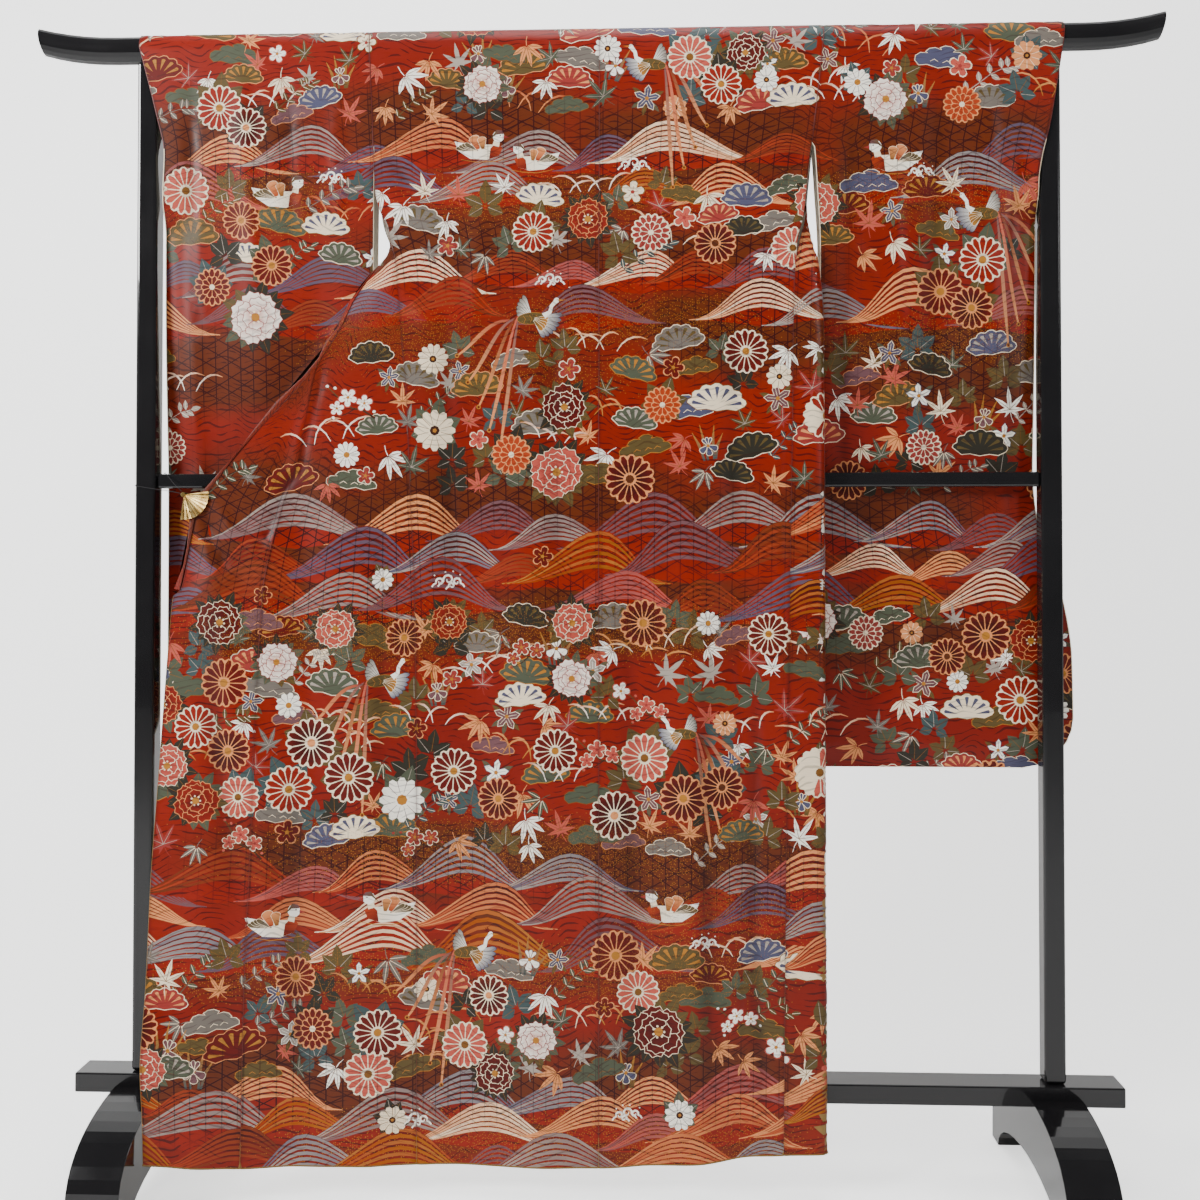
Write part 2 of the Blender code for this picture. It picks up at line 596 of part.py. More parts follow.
def sleeve_row(table, back, level, side, layer):
    at = {name: table.read(name, level) for name in table.columns[1:]}
    if level >= SLEEVE_SEWN_FROM_Z:
        at["inner_x"] = back.read("side_x", level) + side * ARM_SEAM_APART
    outer = at["outer_x"]
    if level < SLEEVE_BOTTOM_Z + CORNER_RADIUS:
        down = SLEEVE_BOTTOM_Z + CORNER_RADIUS - level
        outer -= side * (CORNER_RADIUS - math.sqrt(CORNER_RADIUS**2 - down**2))
    middle = (at["near_y"] + at["far_y"]) / 2
    row = []
    for share in SLEEVE_SHARES:
        x = blend(at["inner_x"], outer, share)
        under_cuff = 1 - smooth_step(CUFF_END_Z - 0.06, CUFF_END_Z - 0.01, level)
        sewn_side = smooth_step(0.84, 1.0, share) * under_cuff
        sewn_low = 1 - smooth_step(0.0, 0.035, level - SLEEVE_BOTTOM_Z)
        closed = max(sewn_side, sewn_low)
        sign = -1 if layer == "near" else 1
        y = blend(at[layer + "_y"], middle + sign * CLOSED_APART, closed)
        row.append(Vector((x, y + fold_depth(SLEEVE_FOLDS, abs(x), level) * (1 - closed), level)))
    return row


def sleeve(name, table, back, side):
    rows = [sleeve_row(table, back, level, side, "near") for level in SLEEVE_LEVELS]
    for turn in spread(0.0, 1.0, WRAP_STEPS)[1:-1]:
        y, z = over_bar(turn)
        rows.append([Vector((p.x, y, z)) for p in rows[len(SLEEVE_LEVELS) - 1]])
    rows += [sleeve_row(table, back, level, side, "far") for level in reversed(SLEEVE_LEVELS)]
    cloth(name, rows, SILK)


# Stand
def box(name, size, centre, recipe, edge=0.0, steps=2):
    bm = bmesh.new()
    bmesh.ops.create_cube(bm, size=1.0)
    bmesh.ops.scale(bm, vec=size, verts=bm.verts)
    mesh = bpy.data.meshes.new(name)
    bm.to_mesh(mesh)
    bm.free()
    made = finish(name, mesh, recipe)
    made.location = centre
    if edge:
        rounded = made.modifiers.new("rounded edges", "BEVEL")
        rounded.width = edge
        rounded.segments = steps
    return made


def top_bar():
    """An oval bar with a narrow flat along each side, its ends turned up and cut aslant."""
    straight = spread(-BAR_STRAIGHT_HALF, BAR_STRAIGHT_HALF, 2)
    rising = spread(BAR_STRAIGHT_HALF, BAR_HALF_LENGTH, 5)[1:]
    stations = [-x for x in reversed(rising)] + straight + rising
    angles = [math.radians(a) for a in (90, 65, 42, 22, 8)]
    quarter = [(BAR_HALF_DEPTH * math.cos(a), BAR_HALF_HEIGHT * math.sin(a)) for a in angles]
    quarter[-1] = (BAR_HALF_DEPTH, quarter[-1][1])
    half = quarter + [(y, -z) for y, z in reversed(quarter)]
    ring = half + [(-y, z) for y, z in reversed(half[1:-1])]
    bm = bmesh.new()
    rings = []
    for n, x in enumerate(stations):
        past = max(0.0, abs(x) - BAR_STRAIGHT_HALF) / (BAR_HALF_LENGTH - BAR_STRAIGHT_HALF)
        at_end = n in (0, len(stations) - 1)
        made = []
        for y, z in ring:
            slant = BAR_END_SLANT * (0.5 - z / BAR_HALF_HEIGHT / 2) * past**3
            made.append(bm.verts.new((math.copysign(abs(x) - slant, x), y,
                                      BAR_CENTRE_Z + z + BAR_TIP_RISE * past**2)))
        rings.append(made)
        if at_end:
            middle = Vector((math.copysign(abs(x) - BAR_END_SLANT / 2 + BAR_END_BULGE, x), 0.0,
                             BAR_CENTRE_Z + BAR_TIP_RISE))
            hub = bm.verts.new(middle)
            for a, b in zip(made, made[1:] + made[:1]):
                bm.faces.new((a, b, hub))
    for first, second in zip(rings, rings[1:]):
        for i in range(len(ring)):
            k = (i + 1) % len(ring)
            bm.faces.new((first[i], first[k], second[k], second[i]))
    bmesh.ops.recalc_face_normals(bm, faces=bm.faces)
    mesh = bpy.data.meshes.new("top_bar")
    bm.to_mesh(mesh)
    bm.free()
    finish("top_bar", mesh, LACQUER, smooth_below=35)


def foot_outline():
    """Side view of a foot: a crowned top, blunt noses and an arch that leaves two pads."""
    crown = []
    for turn in spread(-math.pi / 2, math.pi / 2, 26):
        u = math.sin(turn)
        crown.append((FOOT_HALF_LENGTH * u, FOOT_HEIGHT * max(0.0, 1 - u * u) ** FOOT_CROWN_POWER))
    arch = []
    for turn in spread(math.pi / 2, -math.pi / 2, 14):
        u = math.sin(turn)
        arch.append((FOOT_ARCH_HALF * u, FOOT_ARCH_HEIGHT * math.sqrt(max(0.0, 1 - u * u))))
    return crown + arch


def foot(name, side):
    outline = bpy.data.curves.new(name + "_outline", "CURVE")
    outline.dimensions = "2D"
    outline.fill_mode = "BOTH"
    outline.extrude = FOOT_WIDTH / 2
    points = foot_outline()
    spline = outline.splines.new("POLY")
    spline.points.add(len(points) - 1)
    for point, (y, z) in zip(spline.points, points):
        point.co = (y, z, 0.0, 1.0)
    spline.use_cyclic_u = True
    drawn = bpy.data.objects.new(name + "_outline", outline)
    bpy.context.scene.collection.objects.link(drawn)
    bpy.context.view_layer.update()
    mesh = bpy.data.meshes.new_from_object(drawn.evaluated_get(bpy.context.evaluated_depsgraph_get()))
    bpy.data.objects.remove(drawn)
    bm = bmesh.new()
    bm.from_mesh(mesh)
    bmesh.ops.remove_doubles(bm, verts=bm.verts, dist=0.00005)
    for vert in bm.verts:
        vert.co = Vector((vert.co.z, vert.co.x, vert.co.y))
    bmesh.ops.recalc_face_normals(bm, faces=bm.faces)
    bm.to_mesh(mesh)
    bm.free()
    mesh.name = name
    mesh.materials.clear()
    made = finish(name, mesh, LACQUER, smooth_below=40)
    made.location.x = side * FOOT_X
    rounded = made.modifiers.new("rounded edges", "BEVEL")
    rounded.width = FOOT_EDGE
    rounded.segments = 2
    rounded.limit_method = "ANGLE"
    rounded.angle_limit = math.radians(50)
    notch = box(name + "_notch", (FOOT_WIDTH * 2, BEAM_DEPTH + 2 * FIT_GAP, FOOT_HEIGHT),
                (side * FOOT_X, 0.0, BEAM_TOP - BEAM_HEIGHT - FIT_GAP + FOOT_HEIGHT / 2), LACQUER)
    parts.objects.unlink(notch)
    cutters.objects.link(notch)
    notch.hide_render = True
    notch.display_type = "WIRE"
    cut = made.modifiers.new("beam notch", "BOOLEAN")
    cut.object = notch
    cut.operation = "DIFFERENCE"
    cut.solver = "EXACT"


def stand():
    top_bar()
    post_bottom = BEAM_TOP + FIT_GAP
    post_top = BAR_CENTRE_Z - BAR_HALF_HEIGHT - FIT_GAP
    for word, side in (("left", -1), ("right", 1)):
        box("post_" + word, (POST_WIDTH, POST_DEPTH, post_top - post_bottom),
            (side * POST_X, 0.0, (post_top + post_bottom) / 2), LACQUER, POST_EDGE, 3)
        foot("foot_" + word, side)
    rail_half = POST_X - POST_WIDTH / 2 - FIT_GAP
    box("mid_rail", (2 * rail_half, RAIL_DEPTH, RAIL_HEIGHT), (0.0, 0.0, RAIL_Z), LACQUER, RAIL_EDGE)
    box("low_beam", (2 * BEAM_HALF_LENGTH, BEAM_DEPTH, BEAM_HEIGHT), (0.0, 0.0, BEAM_TOP - BEAM_HEIGHT / 2),
        LACQUER, BEAM_EDGE)


# Clip: a pleated fan in front of the cloth, a plain jaw behind it and the pin that joins them
def sector(radii, y, pleat):
    rows = []
    for radius in radii:
        row = []
        for n, degrees in enumerate(spread(FAN_FROM_DEG, FAN_TO_DEG, 2 * FAN_RIBS)):
            turn = math.radians(degrees)
            depth = pleat * (1 if n % 2 else -1) * radius / FAN_RADIUS
            row.append(Vector((CLIP_PIVOT_X + radius * math.cos(turn), y + depth,
                               CLIP_PIVOT_Z + radius * math.sin(turn))))
        rows.append(row)
    return rows


def clip():
    start = PIN_RADIUS + FIT_GAP
    cloth("clip_fan", sector((start, 0.012, 0.024, FAN_RADIUS), FAN_Y, FAN_PLEAT), GOLD, wall=FAN_THICKNESS)
    cloth("clip_jaw", sector((start, 0.015, JAW_RADIUS), JAW_Y, 0.0), GOLD, wall=FAN_THICKNESS)
    bm = bmesh.new()
    bmesh.ops.create_cone(bm, cap_ends=True, segments=20, radius1=PIN_RADIUS, radius2=PIN_RADIUS,
                          depth=PIN_BACK_Y - PIN_FRONT_Y)
    mesh = bpy.data.meshes.new("clip_pin")
    bm.to_mesh(mesh)
    bm.free()
    pin = finish("clip_pin", mesh, GOLD)
    pin.rotation_euler = (math.pi / 2, 0.0, 0.0)
    pin.location = (CLIP_PIVOT_X, (PIN_FRONT_Y + PIN_BACK_Y) / 2, CLIP_PIVOT_Z)


# The elastic runs from the pin round the left post and back over the rail
ELASTIC_ROUTE = (
    (-0.5884, -0.0450, 0.9950), (-0.6000, -0.0385, 0.9975), (-0.6180, -0.0275, 1.0005),
    (-0.6360, -0.0180, 1.0030), (-0.6440, -0.0171, 1.0045), (-0.6540, -0.0171, 1.0060),
    (-0.6640, -0.0171, 1.0075), (-0.6685, -0.0155, 1.0085), (-0.6702, -0.0110, 1.0095),
    (-0.6702, 0.0000, 1.0110), (-0.6702, 0.0110, 1.0130), (-0.6685, 0.0155, 1.0140),
    (-0.6640, 0.0171, 1.0150), (-0.6540, 0.0171, 1.0180), (-0.6440, 0.0171, 1.0230),
    (-0.6385, 0.0150, 1.0265), (-0.6340, 0.0080, 1.0278), (-0.6280, -0.0040, 1.0278),
    (-0.6220, -0.0130, 1.0240), (-0.6080, -0.0280, 1.0120), (-0.5890, -0.0450, 0.9985),
)


def elastic():
    smooth = curve_through([Vector(p) for p in ELASTIC_ROUTE], 54)
    cord = bpy.data.curves.new("clip_elastic", "CURVE")
    cord.dimensions = "3D"
    cord.bevel_depth = ELASTIC_RADIUS
    cord.bevel_resolution = 2
    cord.use_fill_caps = True
    spline = cord.splines.new("POLY")
    spline.points.add(len(smooth) - 1)
    for point, place in zip(spline.points, smooth):
        point.co = (*place, 1.0)
    cord.materials.append(material("clip_elastic", ELASTIC))
    parts.objects.link(bpy.data.objects.new("clip_elastic", cord))


stand()
back_panel("back_left", BACK_LEFT, -1)
back_panel("back_right", BACK_RIGHT, 1)
left_front = front_left()
right_front = front_right()
left_strip = okumi("okumi_left", OKUMI_LEFT, left_front, -1, SPREAD_FOLDS)
right_strip = okumi("okumi_right", OKUMI_RIGHT, right_front, -1, REAR_FOLDS)
collar(left_front, left_strip, right_front, right_strip)
sleeve("sleeve_left", SLEEVE_LEFT, BACK_LEFT, -1)
sleeve("sleeve_right", SLEEVE_RIGHT, BACK_RIGHT, 1)
clip()
elastic()
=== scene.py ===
import math
import random

import bpy
import numpy as np
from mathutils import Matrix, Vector
from mathutils.geometry import delaunay_2d_cdt


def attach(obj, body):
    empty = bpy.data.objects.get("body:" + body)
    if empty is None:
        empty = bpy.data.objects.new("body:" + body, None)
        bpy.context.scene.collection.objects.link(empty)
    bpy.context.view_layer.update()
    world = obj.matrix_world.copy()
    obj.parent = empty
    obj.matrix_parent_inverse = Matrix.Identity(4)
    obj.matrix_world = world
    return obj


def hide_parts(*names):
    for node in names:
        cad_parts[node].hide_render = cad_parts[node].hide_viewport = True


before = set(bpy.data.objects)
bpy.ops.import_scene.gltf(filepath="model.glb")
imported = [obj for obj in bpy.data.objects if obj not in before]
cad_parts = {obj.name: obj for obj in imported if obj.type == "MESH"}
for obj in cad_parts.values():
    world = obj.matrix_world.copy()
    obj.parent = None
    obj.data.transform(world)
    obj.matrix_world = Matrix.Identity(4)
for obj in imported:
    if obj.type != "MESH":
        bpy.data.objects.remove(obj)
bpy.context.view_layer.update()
print("frame loaded", len(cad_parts), "nodes")


# small tools
def smoothStep(low, high, value):
    t = np.clip((value - low) / (high - low), 0.0, 1.0)
    return t * t * (3 - 2 * t)


def blend(a, b, t):
    return a + (b - a) * t


def spread(first, last, count):
    return [blend(first, last, n / count) for n in range(count + 1)]


def srgb(red, green, blue):
    return tuple(c / 255 / 12.92 if c <= 10 else ((c / 255 + 0.055) / 1.055) ** 2.4
                 for c in (red, green, blue))


class Sizes:
    # rows of sizes by height, read on a curve that never overshoots its rows
    def __init__(self, columns, rows):
        self.columns = columns.split()
        self.rows = sorted(rows)
        self.keys = [row[0] for row in self.rows]

    def read(self, name, key):
        place, keys = self.columns.index(name), self.keys
        values = [row[place] for row in self.rows]
        if key <= keys[0]:
            return values[0]
        if key >= keys[-1]:
            return values[-1]
        i = max(n for n in range(len(keys) - 1) if keys[n] <= key)
        span = keys[i + 1] - keys[i]
        t = (key - keys[i]) / span
        start, end = self.slope(values, i) * span, self.slope(values, i + 1) * span
        return (values[i] * (2 * t**3 - 3 * t**2 + 1) + values[i + 1] * (3 * t**2 - 2 * t**3)
                + start * (t**3 - 2 * t**2 + t) + end * (t**3 - t**2))

    def slope(self, values, i):
        keys = self.keys
        if i in (0, len(keys) - 1):
            n = min(i, len(keys) - 2)
            return (values[n + 1] - values[n]) / (keys[n + 1] - keys[n])
        before = (values[i] - values[i - 1]) / (keys[i] - keys[i - 1])
        after = (values[i + 1] - values[i]) / (keys[i + 1] - keys[i])
        return 0.0 if before * after <= 0 else 2 * before * after / (before + after)


def unit(vectors):
    return vectors / np.maximum(np.linalg.norm(vectors, axis=-1, keepdims=True), 1e-9)


def curveThrough(points, steps):
    # points at even distances along a smooth curve through the given ones
    ends = [2 * points[0] - points[1]] + list(points) + [2 * points[-1] - points[-2]]
    ways = [((b - a).normalized() + (c - b).normalized()) * min((b - a).length, (c - b).length)
            for a, b, c in zip(ends, ends[1:], ends[2:])]
    fine = []
    for b, c, leaving, arriving in zip(points, points[1:], ways, ways[1:]):
        reach = (c - b).length
        leaving = leaving * min(1.0, reach / max(leaving.length, 1e-6))
        arriving = arriving * min(1.0, reach / max(arriving.length, 1e-6))
        for t in spread(0.0, 1.0, 12)[:-1]:
            fine.append(b * (2 * t**3 - 3 * t**2 + 1) + c * (3 * t**2 - 2 * t**3)
                        + leaving * (t**3 - 2 * t**2 + t) + arriving * (t**3 - t**2))
    fine.append(points[-1])
    lengths = [0.0]
    for p, q in zip(fine, fine[1:]):
        lengths.append(lengths[-1] + (q - p).length)
    even = []
    for target in spread(0.0, lengths[-1], steps):
        i = max(n for n in range(len(fine) - 1) if lengths[n] <= target + 1e-12)
        even.append(fine[i].lerp(fine[i + 1], (target - lengths[i]) / (lengths[i + 1] - lengths[i])))
    return even


def foldDepth(folds, x, z):
    # soft vertical folds, positive away from the viewer; x may be an array
    total = x * 0.0
    for topX, lowX, width, depth, topZ, lowZ in folds:
        down = (topZ - z) / (topZ - lowZ)
        middle = blend(topX, lowX, min(1.0, max(0.0, down)))
        reach = smoothStep(0.0, 0.35, down) * (1 - smoothStep(0.85, 1.15, down))
        total = total + depth * reach * np.exp(-((x - middle) / width) ** 2)
    return total


def addObject(name, data):
    made = bpy.data.objects.new(name, data)
    bpy.context.scene.collection.objects.link(made)
    return made


class Net:
    # builds a tree of nodes; an input takes a value or the output that feeds it
    def __init__(self, tree):
        self.tree = tree

    def node(self, kind, inputs=None, **values):
        made = self.tree.nodes.new(kind)
        for key, value in values.items():
            setattr(made, key, value)
        for socket, value in (inputs or {}).items():
            self.feed(made.inputs[socket], value)
        return made

    def feed(self, socket, value):
        if hasattr(value, "links"):
            self.tree.links.new(value, socket)
        elif socket.type == "RGBA" and len(value) == 3:
            socket.default_value = (*value, 1.0)
        else:
            socket.default_value = value

    def maths(self, operation, a, b=None, clamp=False):
        inputs = {0: a} if b is None else {0: a, 1: b}
        return self.node("ShaderNodeMath", inputs, operation=operation, use_clamp=clamp).outputs[0]

    def scaled(self, value, factor, plus=None):
        made = self.maths("MULTIPLY", value, factor)
        return made if plus is None else self.maths("ADD", made, plus)

    def vectorMaths(self, operation, inputs):
        return self.node("ShaderNodeVectorMath", inputs, operation=operation).outputs[0]

    def mix(self, factor, a, b):
        return self.node("ShaderNodeMix", {0: factor, 6: a, 7: b}, data_type="RGBA").outputs[2]

    def band(self, value, low, high):
        inputs = {"Value": value, "From Min": low, "From Max": high}
        return self.node("ShaderNodeMapRange", inputs, interpolation_type="SMOOTHSTEP").outputs["Result"]

    def offMiddle(self, value):
        # how far a value is from the middle between two whole numbers
        return self.maths("ABSOLUTE", self.maths("SUBTRACT", self.maths("FRACT", value), 0.5))

    def noise(self, place, scale=1.0, detail=2.0, stretch=None, dimensions="3D"):
        if stretch:
            place = self.node("ShaderNodeMapping", {"Vector": place, "Scale": stretch}).outputs[0]
        inputs = {"Vector": place, "Scale": scale, "Detail": detail}
        return self.node("ShaderNodeTexNoise", inputs, noise_dimensions=dimensions).outputs["Fac"]

    def bump(self, shader, height, strength, distance):
        made = self.node("ShaderNodeBump", {"Height": height, "Strength": strength, "Distance": distance})
        self.feed(shader.inputs["Normal"], made.outputs[0])


def newMaterial(name, **inputs):
    made = bpy.data.materials.new(name)
    made.use_nodes = True
    net, shader = Net(made.node_tree), made.node_tree.nodes["Principled BSDF"]
    for socket, value in inputs.items():
        net.feed(shader.inputs[socket.replace("_", " ")], value)
    return made, net, shader


# camera, floor and lights
view = {"place": (0.0834, -1.9, 0.9), "pitch": 0.0175, "turn": 0.0386, "lens": 39.33,
        "sensor": 36.0, "shiftY": -0.05245, "nearest": 0.05}
studio = {"floor": (0.93, 0.935, 0.93), "wallY": 1.15, "halfWidth": 5.0,
          "nearY": -6.0, "height": 5.0, "curve": 0.55, "sky": 0.16, "glow": 1.25, "fill": 0.22}
softboxes = {  # place, aim, width across, power
    "main softbox": ((-2.7, -2.1, 2.3), (0.0, 0.0, 0.9), 1.1, 128),
    "side softbox": ((2.4, -2.2, 2.0), (0.0, 0.0, 0.9), 0.8, 26),
    "top softbox": ((0.0, -0.6, 3.4), (0.0, 0.2, 0.6), 2.0, 60),
}


def setCamera():
    data = bpy.data.cameras.new("camera")
    data.lens = view["lens"]
    data.sensor_width = data.sensor_height = view["sensor"]
    data.shift_y = view["shiftY"]
    data.clip_start = view["nearest"]
    made = addObject("camera", data)
    made.location = view["place"]
    made.rotation_euler = (math.pi / 2 + view["pitch"], 0.0, view["turn"])
    bpy.context.scene.camera = made


def paleMaterial():
    # it glows fully only where it is looked at, and is clear from behind
    made, net, shader = newMaterial("pale floor", Base_Color=studio["floor"], Roughness=0.55,
                                    Emission_Color=(1.0, 1.0, 0.99))
    looked = net.node("ShaderNodeLightPath").outputs["Is Camera Ray"]
    glow = net.node("ShaderNodeMapRange",
                    {"Value": looked, "To Min": studio["fill"], "To Max": studio["glow"]})
    net.feed(shader.inputs["Emission Strength"], glow.outputs["Result"])
    behind = net.node("ShaderNodeNewGeometry").outputs["Backfacing"]
    clear = net.node("ShaderNodeBsdfTransparent").outputs[0]
    choice = net.node("ShaderNodeMixShader", {0: behind, 1: shader.outputs[0], 2: clear})
    net.feed(made.node_tree.nodes["Material Output"].inputs["Surface"], choice.outputs[0])
    return made


def setStudio():
    profile = [(studio["nearY"], 0.0), (studio["wallY"] - studio["curve"], 0.0)]
    for turn in spread(0.0, math.pi / 2, 12)[1:]:
        profile.append((studio["wallY"] - studio["curve"] * (1 - math.sin(turn)),
                        studio["curve"] * (1 - math.cos(turn))))
    profile.append((studio["wallY"], studio["height"]))
    mesh = bpy.data.meshes.new("studio_floor")
    verts = [(x, y, z) for y, z in profile for x in (-studio["halfWidth"], studio["halfWidth"])]
    faces = [(2 * n, 2 * n + 1, 2 * n + 3, 2 * n + 2) for n in range(len(profile) - 1)]
    mesh.from_pydata(verts, [], faces)
    mesh.shade_smooth()
    mesh.materials.append(paleMaterial())
    floor = addObject("studio_floor", mesh)
    world = bpy.data.worlds.new("studio light")
    bpy.context.scene.world = world
    world.use_nodes = True
    sky = world.node_tree.nodes["Background"].inputs
    sky["Color"].default_value = (0.93, 0.96, 1.0, 1.0)
    sky["Strength"].default_value = studio["sky"]
    for name, (place, aim, size, power) in softboxes.items():
        light = bpy.data.lights.new(name, "AREA")
        light.shape, light.size, light.energy = "DISK", size, power
        lamp = addObject(name, light)
        lamp.location = place
        lamp.rotation_euler = (Vector(aim) - Vector(place)).to_track_quat("-Z", "Y").to_euler()


setCamera()
setStudio()
print("camera, floor and lights ready")


# the cloth's sizes
cloth = {"wall": 0.0018, "step": 0.008, "seamX": 0.01, "hemZ": 0.05, "shoulderZ": 1.64,
         "barZ": 1.653, "overDepth": 0.018, "overHeight": 0.0215, "wrapSteps": 10,
         "armOpenZ": 1.335, "sewnFromZ": 1.5, "okumiTopZ": 1.178}
far, near = cloth["overDepth"], -cloth["overDepth"]

backFolds = (
    (-0.165, -0.19, 0.045, 0.005, 1.3, -0.1),
    (-0.08, -0.07, 0.04, -0.0045, 1.1, -0.1),
    (0.06, 0.075, 0.035, 0.0055, 1.0, -0.1),
    (0.14, 0.15, 0.03, -0.005, 1.2, -0.1),
    (0.205, 0.215, 0.028, 0.0065, 1.25, -0.1),
)
spreadFolds = (
    (-0.43, -0.4, 0.03, 0.006, 1.15, 0.55),
    (-0.56, -0.5, 0.022, -0.006, 0.96, 0.62),
    (-0.32, -0.31, 0.035, -0.004, 0.95, -0.1),
    (-0.43, -0.42, 0.035, 0.005, 0.62, -0.1),
    (-0.54, -0.545, 0.03, -0.005, 0.58, -0.1),
)
rearFolds = (
    (0.25, 0.255, 0.03, -0.004, 1.25, -0.1),
    (0.19, 0.18, 0.035, 0.003, 1.2, -0.1),
    (0.1, 0.09, 0.035, -0.003, 1.1, -0.1),
)
sleeveFolds = (
    (0.405, 0.395, 0.028, 0.0024, 1.55, 0.4),
    (0.48, 0.49, 0.03, -0.0024, 1.6, 0.4),
    (0.56, 0.565, 0.026, 0.0022, 1.5, 0.4),
)


def overBar(turn):
    angle = math.pi * (1 - turn)
    return cloth["overDepth"] * math.cos(angle), cloth["barZ"] + cloth["overHeight"] * math.sin(angle)


backPanel = {
    "left": Sizes("z sideX y", (
        (0.05, -0.246, -0.05),
        (0.419, -0.247, -0.047),
        (0.843, -0.252, -0.043),
        (0.986, -0.259, -0.041),
        (1.143, -0.266, -0.039),
        (1.227, -0.274, -0.0365),
        (1.331, -0.283, -0.0315),
        (1.378, -0.296, -0.027),
        (1.43, -0.314, -0.0225),
        (1.495, -0.3185, -0.0195),
        (1.653, -0.326, near),
    )),
    "right": Sizes("z sideX y", (
        (0.05, 0.268, -0.05),
        (0.419, 0.272, -0.047),
        (0.843, 0.279, -0.043),
        (1.1, 0.284, -0.04),
        (1.241, 0.286, -0.036),
        (1.356, 0.292, -0.031),
        (1.392, 0.301, -0.027),
        (1.482, 0.311, -0.021),
        (1.524, 0.318, -0.0195),
        (1.653, 0.333, near),
    )),
    "hem": Sizes("x z", (
        (-0.61, 0.074),
        (-0.487, 0.056),
        (-0.25, 0.051),
        (0.01, 0.05),
        (0.15, 0.059),
        (0.27, 0.072),
        (0.33, 0.074),
    )),
    "columns": 40, "seamGap": 0.0003,
}


def hemLift(x, z):
    return (backPanel["hem"].read("z", x) - cloth["hemZ"]) * (1 - float(smoothStep(0.05, 0.5, z)))


def levels(low, high):
    count = max(1, round((high - low) / cloth["step"]))
    return spread(low, high, count)


def backGrid(table, side):
    innerX = cloth["seamX"] + side * backPanel["seamGap"] / 2
    shares = np.linspace(0.0, 1.0, backPanel["columns"] + 1)
    rows = []
    for level in levels(cloth["hemZ"], cloth["barZ"]):
        x = blend(innerX, table.read("sideX", level), shares)
        y = table.read("y", level) + foldDepth(backFolds, x, level) * (1 - smoothStep(0.9, 1.0, shares))
        lift = np.array([hemLift(a, level) for a in x]) if level < 0.5 else 0.0
        rows.append(np.stack([x, y, level + lift + x * 0], axis=1))
    topX = rows[-1][:, 0]
    for turn in spread(0.0, 1.0, cloth["wrapSteps"])[1:]:
        y, z = overBar(turn)
        rows.append(np.stack([topX, topX * 0 + y, topX * 0 + z], axis=1))
    lowX = blend(innerX, table.read("sideX", cloth["shoulderZ"]), shares)
    rows.append(np.stack([lowX, lowX * 0 + far, lowX * 0 + cloth["shoulderZ"]], axis=1))
    return np.array(rows)


